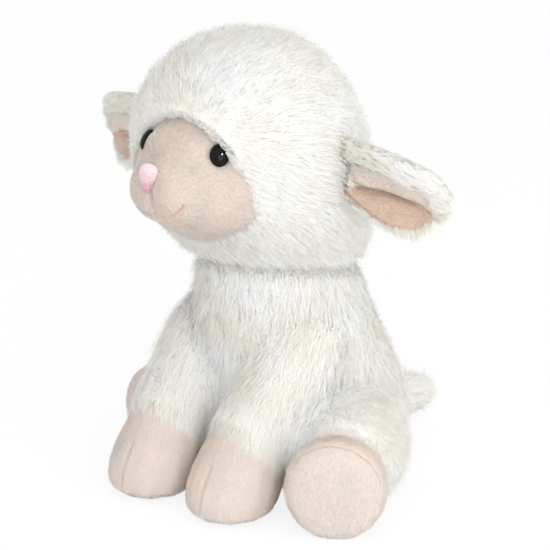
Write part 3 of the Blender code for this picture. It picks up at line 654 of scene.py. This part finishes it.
# %% Floor
bpy.ops.mesh.primitive_plane_add(size=6)
floor = bpy.context.object
floor.name = "studio_floor"
FLOOR_LIFT = 0.86
paper, paper_shader, place = new_material("white paper sweep")
tone = two_tones(paper, place, 1 / 60, (0.0, "F8F8F8"), (1.0, "FBFBFB"))
node(paper, paper_shader, {"Roughness": 1.0}, {"Base Color": tone})
glow = node(paper, "ShaderNodeEmission", {"Strength": 1.0})
seen = node(paper, "ShaderNodeLightPath").outputs
lift = node(paper, "ShaderNodeMath", {"operation": "MULTIPLY", 1: FLOOR_LIFT}, {0: seen["Is Camera Ray"]})
blend = node(paper, "ShaderNodeMixShader", None,
             {"Fac": lift.outputs[0], 1: paper_shader.outputs[0], 2: glow.outputs[0]})
node(paper, paper.node_tree.nodes["Material Output"], None, {"Surface": blend.outputs[0]})
paint(floor, paper)
print("floor laid")

# %% [markdown]
# ## Backings
# Under the pile each body has its knitted backing, made from its own solids, so that nothing opens when a
# limb moves on its seam. It hides behind the strands.

# %% Backings


def stuffed(obj, body, replaced):
    """Settle a piece that is stuffed."""
    settle(obj, body, replaced)


backings = {"torso": ["torso_fur", "torso_stuffing", "pellet_bag"], "head": ["head_fur", "head_stuffing", "face"],
            "tail": ["tail"]}
backings.update({leg: [leg_nodes(leg)[0], leg_nodes(leg)[3]] for leg in LEGS})
skins = {}
for body, solids in backings.items():
    skin = soften(f"{body}_backing", solids, 1.8 * MM, 6)
    if body == "head":
        hide_under_velour(skin, 2.6 * MM, 1.6 * MM)
    sink(skin, FUR_DEPTH - UNDERCOAT)
    hide_under_pile(skin, -UNDERCOAT)
    paint(skin, BACKING)
    stuffed(skin, body, solids[0])
    skins[body] = skin
print(len(backings), "backings")

# %% [markdown]
# ## The combing
# The pile runs down the torso and the legs, back and up from the brow, down over the cheeks, and along the
# tail. Beside the velour it is sheared shorter, so that it only just overlaps it.

# %% The combing


def middle_of(name):
    low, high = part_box(name)
    return np.array((Vector(low) + Vector(high)) / 2)


EAR_ROOT_REACH = 8 * MM


def ear_root(side_name):
    """The points of an ear that lie nearest the head."""
    places = points_of(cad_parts[f"ear_fur_{side_name}"].data)
    return places[np.abs(places[:, 0]) < np.abs(places[:, 0]).min() + 5 * MM]


def fur_way(body, points):
    """The way in which a body's pile is combed, at each point."""
    if body == "head":
        from_face = unit(points - np.array(FACE_FRONT))
        height = (points[:, 2] - FACE_FRONT.z) / (50 * MM)
        fall = np.array([0, 0, -1.0]) * (0.5 - 0.45 * np.clip(height, -1, 1))[:, None]
        way = from_face + fall + np.array([0, 0.25, 0])
        for side_name, side in SIDES.items():
            beside = ease(1.3 - nearest(points, ear_root(side_name))[1] / EAR_ROOT_REACH)[:, None]
            way = way * (1 - beside) + np.array([1.6 * side, -0.2, -0.4]) * beside
        return way
    if body == "torso":
        return np.array([0, 0, -1.0]) + unit(points * [1, 1, 0] + 1e-9) * 0.15
    if body == "tail":
        return np.array([0.1, 1.0, -0.3])
    kind, _, side = body.partition("_leg_")
    along = unit(middle_of(f"{kind}_foot_{side}") - middle_of(f"{kind}_leg_fur_{side}"))
    if kind == "front":
        return along + np.array([0, 0, -0.3])
    ankle = 1 - away_from_velour(points)[:, None]
    return along * ankle + np.array([0.3 * SIDES[side], 0.35, -1.0]) * (1 - ankle)


# %% Scatter the strands' feet
chance = np.random.default_rng(5)
corners, shares = scatter(whole.data, FUR_DENSITY, chance)
roots = at(points_of(whole.data), corners, shares)
normals = unit(at(whole_normals, corners, shares))
open_share = at(whole_share, corners, shares)
pick = (shares.cumsum(axis=1) < chance.random((len(shares), 1))).sum(axis=1).clip(0, 2)
labels = whole_labels[corners[np.arange(len(corners)), pick]]
overlap_from, overlap = nearest(roots, fur_points)
over_seam = overlap < OVERLAP
for label in np.flatnonzero(~is_fur):
    near = np.flatnonzero((labels == label) & over_seam)
    fur_label = fur_labels[overlap_from[near]]
    own = body_of_label[fur_label] == body_of_label[label]
    labels[near[own]] = fur_label[own]
way = np.zeros_like(roots)
for label, body in enumerate(BODY_OF.values()):
    if is_fur[label]:
        way[labels == label] = fur_way(body, roots[labels == label])
way += 0.3 * drift(roots, 30 * MM, 7) + 0.5 * drift(roots, 11 * MM, 8) + 0.25 * chance.normal(size=roots.shape)
print(len(roots), "places for a strand")

# %% Shape the strands and plant them
flyaway = chance.random(len(roots)) > FLYAWAY_FROM
size = 0.75 + 0.5 * chance.random(len(roots)) + 0.4 * flyaway
edge_rise = EDGE_DEPTH + 1.3 * MM  # the tips only just stand over the velour
rise = (edge_rise + (FUR_RISE - edge_rise) * open_share) * (0.65 + 0.6 * chance.random(len(roots)) + 0.5 * flyaway)
edge_lay = np.where(np.isin(body_of_label, LEGS)[labels], ANKLE_LAY, EDGE_LAY)
lay = (edge_lay + (FUR_LAY - edge_lay) * open_share) * size
kept = is_fur[labels] & (roots[:, 2] > BARE_BELOW)
roots, normals, labels, way, rise, lay = (a[kept] for a in (roots, normals, labels, way, rise, lay))
tips = lock_tips(roots, laid_over(roots, normals, way, rise, lay), LEADERS, chance, 0.38)
in_front = roots[:, 1] < -2 * MM
for label, body in enumerate(BODY_OF.values()):
    for part, half in (("front", in_front), ("back", ~in_front)):  # so that no piece has too many triangles
        chosen = (labels == label) & half
        if chosen.sum() > FEWEST:
            pile = strands(f"{body}_pile_{part}", roots[chosen], normals[chosen], tips[chosen], rise[chosen],
                           FUR_WIDTH, chance, FUR)
            settle(pile, body)
bpy.data.objects.remove(whole)
print(len(roots), "strands of fur")

# %% [markdown]
# Where one limb lies against another, both are cut from the same fur, and it shows when the limb is lifted.
# These places get a shorter pile of their own, which at rest is buried in the neighbour.

# %% The pile between the limbs
COVERED_RISE, COVERED_LAY, COVERED_DENSITY = 2.6 * MM, 6 * MM, 2.4 / MM ** 2
COVERED_FROM = 0.8 * MM  # how far under the roots of the outer pile a backing counts as covered
COVERED_CLEAR = 3 * MM  # from the velour
COVERED_LEADERS = 0.06

for body, skin in skins.items():
    roots, normals = feet_on(skin.data, COVERED_DENSITY, chance)
    depth = np.array([under_pile(root)[0] for root in roots])
    lent = body_of_label[whole_labels[nearest(roots, whole_places)[0]]] != body  # the outer pile is another body's
    covered = ((depth > COVERED_FROM) | lent) & (nearest(roots, velour_points)[1] > COVERED_CLEAR)
    covered &= roots[:, 2] > BARE_BELOW
    if covered.sum() < FEWEST:
        continue
    roots, normals, depth = roots[covered], normals[covered], depth[covered]
    size = 0.75 + 0.5 * chance.random(len(roots))
    rise = np.clip(depth + 1 * MM, 0.8 * MM, COVERED_RISE) * size
    way = fur_way(body, roots) + 0.5 * drift(roots, 11 * MM, 8) + 0.25 * chance.normal(size=roots.shape)
    tips = laid_over(roots, normals, way, rise, COVERED_LAY * size)
    tips = lock_tips(roots, tips, COVERED_LEADERS, chance, 0.5)
    settle(strands(f"{body}_pile_between", roots, normals, tips, rise, FUR_WIDTH, chance, FUR), body)

# %% [markdown]
# ## Velour
# The face, the feet and their soles are velour: a smooth skin with a nap of a millimetre.

# %% Face


def facing_out(centre, least=0.15):
    """A test for points whose surface faces away from a centre, which leaves a shell's inside bare."""
    def test(points, normals):
        return (unit(points - np.array(centre)) * normals).sum(axis=1) > least
    return test


def combed_back(points, normals):
    return unit(points - np.array(FACE_FRONT)) + np.array([0, 0.4, -0.3])


MOUTH_WIDTH, MOUTH_MIDDLE, MOUTH_CURL = 28 * MM, 132.3 * MM, 5.9 * MM
front_tree, _ = tree_of("face", "nose")


def mouth_point(reach):
    """A point of the mouth's line, from -1 to 1, and the way the face looks there."""
    return on_front(front_tree, reach * MOUTH_WIDTH / 2, MOUTH_MIDDLE + MOUTH_CURL * abs(reach) ** 3)


face = soften("face_skin", ["face"], 0.9 * MM, 6)
centre_seam = line(*(on_front(front_tree, 0, (132 + z) * MM)[0] for z in range(0, 12)))
mouth_line = line(*(mouth_point(i / 12)[0] for i in range(-12, 13)))
face_seams = centre_seam + mouth_line
groove(face, centre_seam, 2.2 * MM, 1.2 * MM)
groove(face, mouth_line, 1.5 * MM, 1.4 * MM)
groove(face, line(*(on_front(front_tree, i * 2 * MM, 126.5 * MM)[0] for i in range(-5, 6))), 0.9 * MM, 2.6 * MM)
for side in SIDES.values():
    def placed(x, y, z):
        return Vector((x * side, y, z)) * MM
    groove(face, [placed(19.5, -60, 158)], 1.3 * MM, 6.5 * MM)  # the eye's socket
    groove(face, [placed(9, -76, 137.5)], -1.3 * MM, 6.0 * MM)  # the muzzle's cheek
    groove(face, [placed(9.5, -67, 160)], -2.0 * MM, 5.0 * MM)  # the bridge between the eyes
    groove(face, [placed(15.5, -61, 166)], -1.0 * MM, 3.5 * MM)  # the brow
    brow_dart = line(placed(13.4, -62, 167.5), placed(15.5, -60, 162.5))
    cheek_dart = line(placed(13.6, -71.1, 153.2), placed(18, -65, 154.3))
    groove(face, brow_dart, 0.9 * MM, 0.9 * MM)
    groove(face, cheek_dart, 0.45 * MM, 0.5 * MM)
    face_seams += cheek_dart
paint(face, VELOUR)
stuffed(face, "head", "face")
nap("face_nap", face, "head", combed_back, 31, VELOUR, facing_out((0, -30 * MM, 146 * MM)), face_seams)

# %% Feet


def combed_down(points, normals):
    return np.array([0, -0.2, -1.0])


for number, leg in enumerate(LEGS):
    _, foot_node, sole_node, _ = leg_nodes(leg)
    centre = middle_of(foot_node)
    for part, solid, finish, slot in (("foot", foot_node, FOOT_VELOUR_AND_LIP_HIGHLIGHT, "velour"), ("sole", sole_node, SOLE, "sole")):
        piece = soften(f"{solid}_skin", [solid], 0.9 * MM, 10)
        seams = []
        if part == "foot" and leg.startswith("front"):
            foot_tree, _ = tree_of(solid)
            dart = [on_front(foot_tree, centre[0] - 1.5 * MM, z * MM)[0] for z in range(5, 25)]
            seams = line(*dart)
            groove(piece, seams, 1.0 * MM, 0.9 * MM)
        paint(piece, finish)
        stuffed(piece, leg, solid)
        nap(f"{solid}_nap", piece, leg, combed_down, 41 + 2 * number + (part == "sole"), finish,
            facing_out(centre), seams)

# %% [markdown]
# ## Ears
# Each ear is a fur back sewn to a velour lining. Turned out and sewn to the head it cups forward: its upper
# edge rolls over as a lip, a fold runs along under the lip, and below that the lining lies in the hollow.
# Both are made from their solids, then rolled and pressed point by point, and the fur is combed to the tip.

# %% The measures of an ear
EAR_FOLD_DROP, EAR_FOLD_SLOPE = 12.5 * MM, -0.5 * MM  # from the lining's upper edge, at the root and on to the tip
EAR_LIP, EAR_LIP_WIDTH, EAR_LIP_OVER = 2.6 * MM, 4.2 * MM, 3.2 * MM  # how far it rolls, and where over the fold
EAR_FOLD, EAR_FOLD_WIDTH, EAR_FOLD_UNDER = 3.4 * MM, 1.8 * MM, 1.0 * MM
EAR_LINED = 1.5 * MM  # the fur back is lined where the lining is so near
EAR_UNDER_DEPTH, EAR_LINED_DEPTH = 0.9 * MM, 2.3 * MM  # the backing lies deeper where it is lined
EAR_HEM, EAR_HEM_REACH = 3.8 * MM, 8 * MM  # the lining comes down over the ear's lower edge
EAR_HANG, EAR_FRINGE_STRANDS = 4.2 * MM, 8  # and a fringe of fur hangs from it, so many to a point
EAR_LIP_TOP = 8.0 * MM  # the lip's velour goes so far up from the fold
LINING_DENSITY, LIP_DENSITY = 11 / MM ** 2, 26 / MM ** 2
EAR_FRINGE = 1.2 * MM  # so far the fur comes round over the lining's edge
EAR_RISE, EAR_LAY = 1.9 * MM, 5.0 * MM
print("the fold runs", EAR_FOLD_DROP / MM, "mm under the lining's edge")

# %% Ears


def ear_fringe(mesh, edge, along_ear, side, chance):
    """The roots, tips, normals and rises of strands that hang from the edge points of a lining."""
    hung = points_of(mesh)[edge] + 0.3 * MM * chance.normal(size=(len(edge), 3))
    drop = EAR_HANG * (0.4 + 0.9 * chance.random(len(edge))) * (0.45 + 0.75 * ease(along_ear(hung) * 1.2))
    slant = np.array([0.35 * side, -0.1, -1.0]) + 0.25 * drift(hung, 7 * MM, 3)
    normals = unit(points_of(mesh, "normal")[edge] + [0, -1.5, 0.3])
    return hung, hung + slant * drop[:, None], normals, 0.3 * drop


def build_ear(side_name):
    """The backing, lining, pile and nap of one ear."""
    side = SIDES[side_name]
    body = f"ear_{side_name}"
    fur_node, lining_node = f"ear_fur_{side_name}", f"ear_lining_{side_name}"
    under = soften(f"ear_under_{side_name}", [fur_node, lining_node], 0.9 * MM, 5)
    front = soften(f"ear_front_{side_name}", [lining_node], 0.8 * MM, 4)
    lining = points_of(front.data)
    inner, outer = np.abs(lining[:, 0]).min(), np.abs(lining[:, 0]).max()
    stations = np.linspace(0.04, 0.96, 16)
    slices = [lining[np.abs(np.abs(lining[:, 0]) - inner - (outer - inner) * s) < 1.5 * MM, 2] for s in stations]
    tops, feet = [s.max() for s in slices], [s.min() for s in slices]

    def along_ear(points):
        """How far along the ear a point is, from 0 to 1."""
        return (np.abs(points[:, 0]) - inner) / (outer - inner)

    def over_edge(points):
        """How high a point is over the lining's lower edge."""
        return points[:, 2] - np.interp(along_ear(points), stations, feet)

    low_share = ease(1 - over_edge(lining) / EAR_HEM_REACH)
    hemmed = lining + np.array([0, 0.15, -1.0]) * (EAR_HEM * low_share)[:, None]
    move_points(front.data, hemmed)

    def over_fold(points):
        """How high a point is over the fold."""
        reach = along_ear(points)
        return points[:, 2] - np.interp(reach, stations, tops) + EAR_FOLD_DROP + EAR_FOLD_SLOPE * reach

    def cup(obj, only_front):
        """Roll the lip forward and press the fold in under it."""
        places = points_of(obj.data)
        reach, over = along_ear(places), over_fold(places)
        fade = ease(reach * 6 + 0.2) * ease((1 - reach) * 3)
        if only_front:
            fade *= ease(0.6 - points_of(obj.data, "normal")[:, 1])
        lip = EAR_LIP * np.exp(-((over - EAR_LIP_OVER) / EAR_LIP_WIDTH) ** 2)
        fold = EAR_FOLD * np.exp(-((over + EAR_FOLD_UNDER) / EAR_FOLD_WIDTH) ** 2)
        move_points(obj.data, places + np.array([0, -1.0, -0.35]) * (lip * fade)[:, None]
                    + np.array([0, 1.0, 0]) * (fold * fade)[:, None])

    chance = np.random.default_rng(80 + side)
    lining_away = nearest(points_of(under.data), np.concatenate([lining, hemmed]))[1]
    cup(under, True)
    cup(front, False)
    roots, normals = feet_on(under.data, 1.5 * FUR_DENSITY, chance)
    bare = nearest(roots, points_of(under.data)[lining_away > EAR_LINED])[1]
    reach, over = along_ear(roots), over_fold(roots)
    lip_top = EAR_LIP_TOP + 2 * MM * drift(roots, 12 * MM, 4)[:, 0]
    at_root = (reach < 0.08) & (over > -2 * MM)
    round_edge = EAR_FRINGE * np.where(over_edge(roots) < 3 * MM, 2, 1)
    furry = (bare < round_edge) | (over > lip_top) | (reach > 0.93) | at_root
    roots, normals = roots[furry], normals[furry]
    middle = middle_of(fur_node) * [0.55, 1, 1]
    outward = np.array([side, 0.1, -0.5])

    def comb(points, normals):
        spread = unit(points - middle) * 0.7
        spread[:, 2] = np.minimum(spread[:, 2], 0)  # no strand stands up over the upper rim
        return spread + outward

    way = comb(roots, normals) + 0.8 * drift(roots, 7 * MM, 3) + 0.35 * chance.normal(size=roots.shape)
    size = 0.75 + 0.5 * chance.random(len(roots)) + 0.5 * (chance.random(len(roots)) > FLYAWAY_FROM)
    rise, lay = EAR_RISE * (0.25 + 1.05 * chance.random(len(roots))), EAR_LAY * size
    tips = laid_over(roots, normals, way, rise, lay)
    edge = np.repeat(np.flatnonzero(low_share > 0.9), EAR_FRINGE_STRANDS)
    fringe = ear_fringe(front.data, edge, along_ear, side, chance)
    roots, tips, normals, rise = (np.concatenate(pair) for pair in zip((roots, tips, normals, rise), fringe))
    tips = lock_tips(roots, tips, LEADERS, chance, 0.5)
    settle(strands(f"ear_pile_{side_name}", roots, normals, tips, rise, FUR_WIDTH, chance, FUR), body)
    depth = EAR_UNDER_DEPTH + (EAR_LINED_DEPTH - EAR_UNDER_DEPTH) * ease((EAR_LINED - lining_away) / (0.8 * MM))
    move_points(under.data, points_of(under.data) - points_of(under.data, "normal") * depth[:, None])
    paint(under, BACKING)
    stuffed(under, body, fur_node)
    # painted highlight: the rolled lip's nap is the paler foot velour, lighter than the lining's velour in the hollow
    # under the fold
    for part, finish, high, density in (("lining", LINING, False, LINING_DENSITY), ("lip", FOOT_VELOUR_AND_LIP_HIGHLIGHT, True, LIP_DENSITY)):
        nap(f"ear_{part}_nap_{side_name}", front, body, comb, 90 + side, finish,
            lambda p, n, high=high: (n[:, 1] < 0.3) & ((over_fold(p) > 0) == high), density=density)
    places = points_of(front.data)
    below = ease((over_fold(places) - EAR_LIP_TOP + 1 * MM) / (3 * MM))
    move_points(front.data, places - points_of(front.data, "normal") * (EAR_UNDER_DEPTH * below)[:, None])
    paint(front, LINING)
    stuffed(front, body, lining_node)


for side in SIDES:
    build_ear(side)

# %% [markdown]
# ## Finish
# Hidden pieces keep their solids and get the look of what they are.

# %% Hidden pieces
for name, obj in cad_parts.items():
    if "stuffing" in name:
        paint(obj, FIBRE)
    elif name == "pellet_bag":
        paint(obj, COTTON)
    elif "washer" in name:
        paint(obj, NYLON)
print("stuffing, pellet bag and washers painted")

# %% [markdown]
# ## Eyes, nose and mouth
# The eyes are moulded domes with a shank, polished by their mould, so that they show one sharp highlight.
# The nose is satin stitch: rayon threads laid side by side, which shine along their lay; their pale streaks are
# painted sheen, and the pad is painted deeper pink below and paler above, as painted shade and painted light.
# The mouth is a row of stitches in matt cotton.

# %% Eyes
GLOSS, gloss_shader, place = new_material("black plastic, moulded and polished")
tone = two_tones(GLOSS, place, 2 * MM, (0.3, "0B090A"), (0.7, "120F10"))
node(GLOSS, gloss_shader, {"Roughness": 0.04, "IOR": 1.4, "Specular IOR Level": 0.2}, {"Base Color": tone})
EYE_RADIUS, EYE_DOME, SHANK_RADIUS, SHANK_LENGTH = 5.0 * MM, 3.0 * MM, 2.0 * MM, 11.0 * MM
EYE_SINK, EYE_OVAL = 1.0 * MM, 0.82  # how deep the dome's middle sits, and its width by its height
GLINT_SHARES = (0.5, 0.4, 0.3, 0.2, 0.1)  # how far out the lamp may show in the near eye
GLINT_UP = 0.5 * MM


def light_glint(mesh, centre):
    """A lamp that shows in an eye as one highlight, as far out as the face doesn't hide the lamp."""
    across, up, toward = (np.array(v) for v in camera.rotation_euler.to_matrix().transposed())
    places, normals = points_of(mesh), points_of(mesh, "normal")
    from_centre = places - np.array(centre)
    for share in GLINT_SHARES:
        off = np.hypot(from_centre @ across - share * EYE_RADIUS, from_centre @ up - GLINT_UP)
        off[normals @ toward < 0.2] = 1
        glint = normals[off.argmin()]
        lamp_way = 2 * (glint @ toward) * glint - toward
        if solids_tree.ray_cast(Vector(places[off.argmin()] + MM * glint), Vector(lamp_way))[0] is None:
            break
    lamp = softbox("glint_softbox", math.degrees(math.atan2(lamp_way[0], -lamp_way[1])),
                   math.degrees(math.asin(lamp_way[2])), 0.9, 0.14, 7.0)
    lamp.visible_diffuse = False  # it only shows as the highlight
    lamp.visible_transmission = False
    print("the highlight stands", share, "of the way to the eye's edge")


for side in SIDES:
    solid = np.unique(points_of(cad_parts[f"eye_{side}"].data).round(6), axis=0)
    middle = solid.mean(axis=0)
    sizes, ways = np.linalg.eigh(np.cov((solid - middle).T))
    odd = np.abs(sizes - np.median(sizes)).argmax()  # the solid is round, so only its axis has a spread of its own
    axis = Vector(ways[:, odd] * (-1 if ways[1, odd] > 0 else 1))
    top = Vector(middle) + axis * float(((solid - middle) @ np.array(axis)).max())
    centre = top - axis * (EYE_DOME + EYE_SINK)
    turn = axis.to_track_quat("Z", "Y").to_matrix().to_4x4()
    bpy.ops.mesh.primitive_uv_sphere_add(segments=64, ring_count=32, radius=EYE_RADIUS)
    dome = bpy.context.object
    dome.scale = (EYE_OVAL, 1, EYE_DOME / EYE_RADIUS)
    bpy.ops.object.transform_apply(location=False, rotation=False, scale=True)
    bpy.ops.mesh.primitive_cylinder_add(vertices=32, radius=SHANK_RADIUS, depth=SHANK_LENGTH - 3 * MM,
                                        location=(0, 0, -SHANK_LENGTH / 2 - 1.5 * MM))
    dome.select_set(True)
    bpy.context.view_layer.objects.active = dome
    bpy.ops.object.join()
    dome.name = f"eye_dome_{side}"
    dome.data.transform(Matrix.Translation(centre) @ turn)
    select_only(dome)
    bpy.ops.object.shade_smooth_by_angle(angle=math.radians(40))
    paint(dome, GLOSS)
    settle(dome, "head", f"eye_{side}")
    print(dome.name, "faces", [round(v, 2) for v in axis])
    if side == "left":
        light_glint(dome.data, centre)

# %% Thread


def thread_finish(name, low, high, roughness, painted_shade_height=0.0, painted_light_height=0.0):
    """Twisted thread: the noise runs along its lay, as the thread's own tone and as painted sheen streaks. Between the
    two heights it turns from low to high, as painted shade below and painted light above.
    """
    material, shader, place = new_material(name)
    lay = node(material, "ShaderNodeMapping", {"Scale": (1 / (0.3 * MM), 1 / (0.3 * MM), 1 / (3 * MM))},
               {"Vector": place})
    twist_and_sheen = node(material, "ShaderNodeTexNoise", {"Scale": 1.0, "Detail": 3.0}, {"Vector": lay.outputs["Vector"]})
    # the noise gives the thread's own tone and painted sheen: pale streaks along the lay
    tone = twist_and_sheen.outputs["Fac"]
    # painted shade and painted light: darker below the first height, lighter above the second
    if painted_light_height:
        height = node(material, "ShaderNodeSeparateXYZ", None, {"Vector": place}).outputs["Z"]
        share = node(material, "ShaderNodeMapRange", {"From Min": painted_shade_height, "From Max": painted_light_height, "To Min": -0.25,
                                                      "To Max": 0.25}, {"Value": height})
        tone = node(material, "ShaderNodeMath", {"operation": "ADD"}, {0: tone, 1: share.outputs[0]}).outputs[0]
    colour = node(material, "ShaderNodeValToRGB", {"stops": ((0.3, low), (0.7, high))}, {"Fac": tone})
    bump = node(material, "ShaderNodeBump", {"Strength": 0.5, "Distance": 0.08 * MM}, {"Height": twist_and_sheen.outputs["Fac"]})
    node(material, shader, {"Roughness": roughness, "Sheen Weight": 0.2},
         {"Base Color": colour.outputs["Color"], "Normal": bump.outputs["Normal"]})
    return material


# painted sheen and painted light: pale streaks run along the threads, and the pad is deeper pink below 142 mm and
# paler above 154 mm, as shade falls on its lower half
SATIN = thread_finish("rayon embroidery thread, satin stitch", "BC8793", "E2CDD0", 0.45, 142 * MM, 154 * MM)
ROSE = thread_finish("cotton thread, rose", "C47F8B", "D0929C", 0.7)


def threads(name, paths, radius, material, replaced):
    """Tubes of thread along paths of points, as one mesh that rides the head."""
    curve = bpy.data.curves.new(name, "CURVE")
    curve.dimensions = "3D"
    curve.bevel_depth = radius
    curve.bevel_resolution = 2
    curve.use_fill_caps = True
    for path in paths:
        spline = curve.splines.new("POLY")
        spline.points.add(len(path) - 1)
        for point, place in zip(spline.points, path):
            point.co = (*place, 1)
    obj = bpy.data.objects.new(name, curve)
    bpy.context.scene.collection.objects.link(obj)
    select_only(obj)
    bpy.ops.object.convert(target="MESH")
    bpy.ops.object.shade_smooth_by_angle(angle=math.radians(50))
    paint(obj, material)
    settle(obj, "head", replaced)
    print(name, len(paths), "threads")


print("thread ready")

# %% Nose
NOSE_WIDTH, NOSE_HEIGHT, NOSE_MIDDLE = 13.0 * MM, 12.4 * MM, 148.6 * MM
NOSE_FOOT, NOSE_ROUND = 0.22, 0.55  # the foot's share of the width, and how much the corners are rounded
NOSE_CROWN, NOSE_EDGE = 2.0 * MM, -1.0 * MM  # how the pad stands in its middle and at its edge
SATIN_RADIUS = 0.36 * MM
NOSE_THREADS = 19
HEAD_CENTRE = np.array([0, -40, 147]) * MM


def tip_terms(x, z):
    """The terms of a bulge that fits the muzzle's tip."""
    x, z = x / NOSE_WIDTH, (z - NOSE_MIDDLE) / NOSE_HEIGHT
    return [1, x * x, z, z * z, x * x * z]


grid = np.linspace(-0.5, 0.5, 7)
spots = [(x, z) for x in grid * NOSE_WIDTH for z in NOSE_MIDDLE + grid * NOSE_HEIGHT]
tip_depths = [on_front(front_tree, x, z)[0].y for x, z in spots]
tip_shape = np.linalg.lstsq(np.array([tip_terms(x, z) for x, z in spots]), np.array(tip_depths), rcond=None)[0]


def pad_point(u, v, lift=0.0):
    """A point of the nose pad. u runs across it and v up it, both from -1 to 1."""
    rise = (v * math.sqrt(1 - NOSE_ROUND * u * u) + 1) / 2
    x = u * math.sqrt(1 - NOSE_ROUND * v * v) * NOSE_WIDTH / 2 * (NOSE_FOOT + (1 - NOSE_FOOT) * rise)
    z = NOSE_MIDDLE + (rise - 0.5) * NOSE_HEIGHT
    place = np.array([x, float(np.dot(tip_terms(x, z), tip_shape)), z])
    crown = (1 - u ** 4) * (1 - v ** 4)
    return Vector(place + unit(place - HEAD_CENTRE) * (NOSE_EDGE + (NOSE_CROWN - NOSE_EDGE) * crown ** 0.5 + lift))


bpy.ops.mesh.primitive_grid_add(x_subdivisions=28, y_subdivisions=28, size=2)
pad = bpy.context.object
pad.name = "nose_pad"
for vertex in pad.data.vertices:
    vertex.co = pad_point(vertex.co.x, vertex.co.y)
apply_modifier(pad, "SOLIDIFY", thickness=1.2 * MM, offset=-1)
bpy.ops.object.shade_smooth()
paint(pad, SATIN)
settle(pad, "head", "nose")
paths = []
for index in range(NOSE_THREADS):
    across = 0.93 * (2 * index / (NOSE_THREADS - 1) - 1)
    paths.append([pad_point(across, 0.96 * math.cos(math.pi * step / 12), -0.1 * MM) for step in range(13)])
threads("nose_satin", paths, SATIN_RADIUS, SATIN, "nose")

# %% Mouth
MOUTH_STITCHES, MOUTH_DEEP = 7, 1.1 * MM  # the stitches draw in at the middle
paths = []
for index in range(MOUTH_STITCHES):
    path = []
    for step in range(7):
        share = step / 6
        reach = 2 * (index - 0.06 + 1.12 * share) / MOUTH_STITCHES - 1
        place, way = mouth_point(reach)
        deep = MOUTH_DEEP * float(ease((0.8 - abs(reach)) / 0.4))
        path.append(place + way * ((-0.5 + 0.5 * math.sin(math.pi * share) ** 0.6) * MM - deep))
    paths.append(path)
threads("mouth_stitches", paths, 0.46 * MM, ROSE, "mouth_stitch")
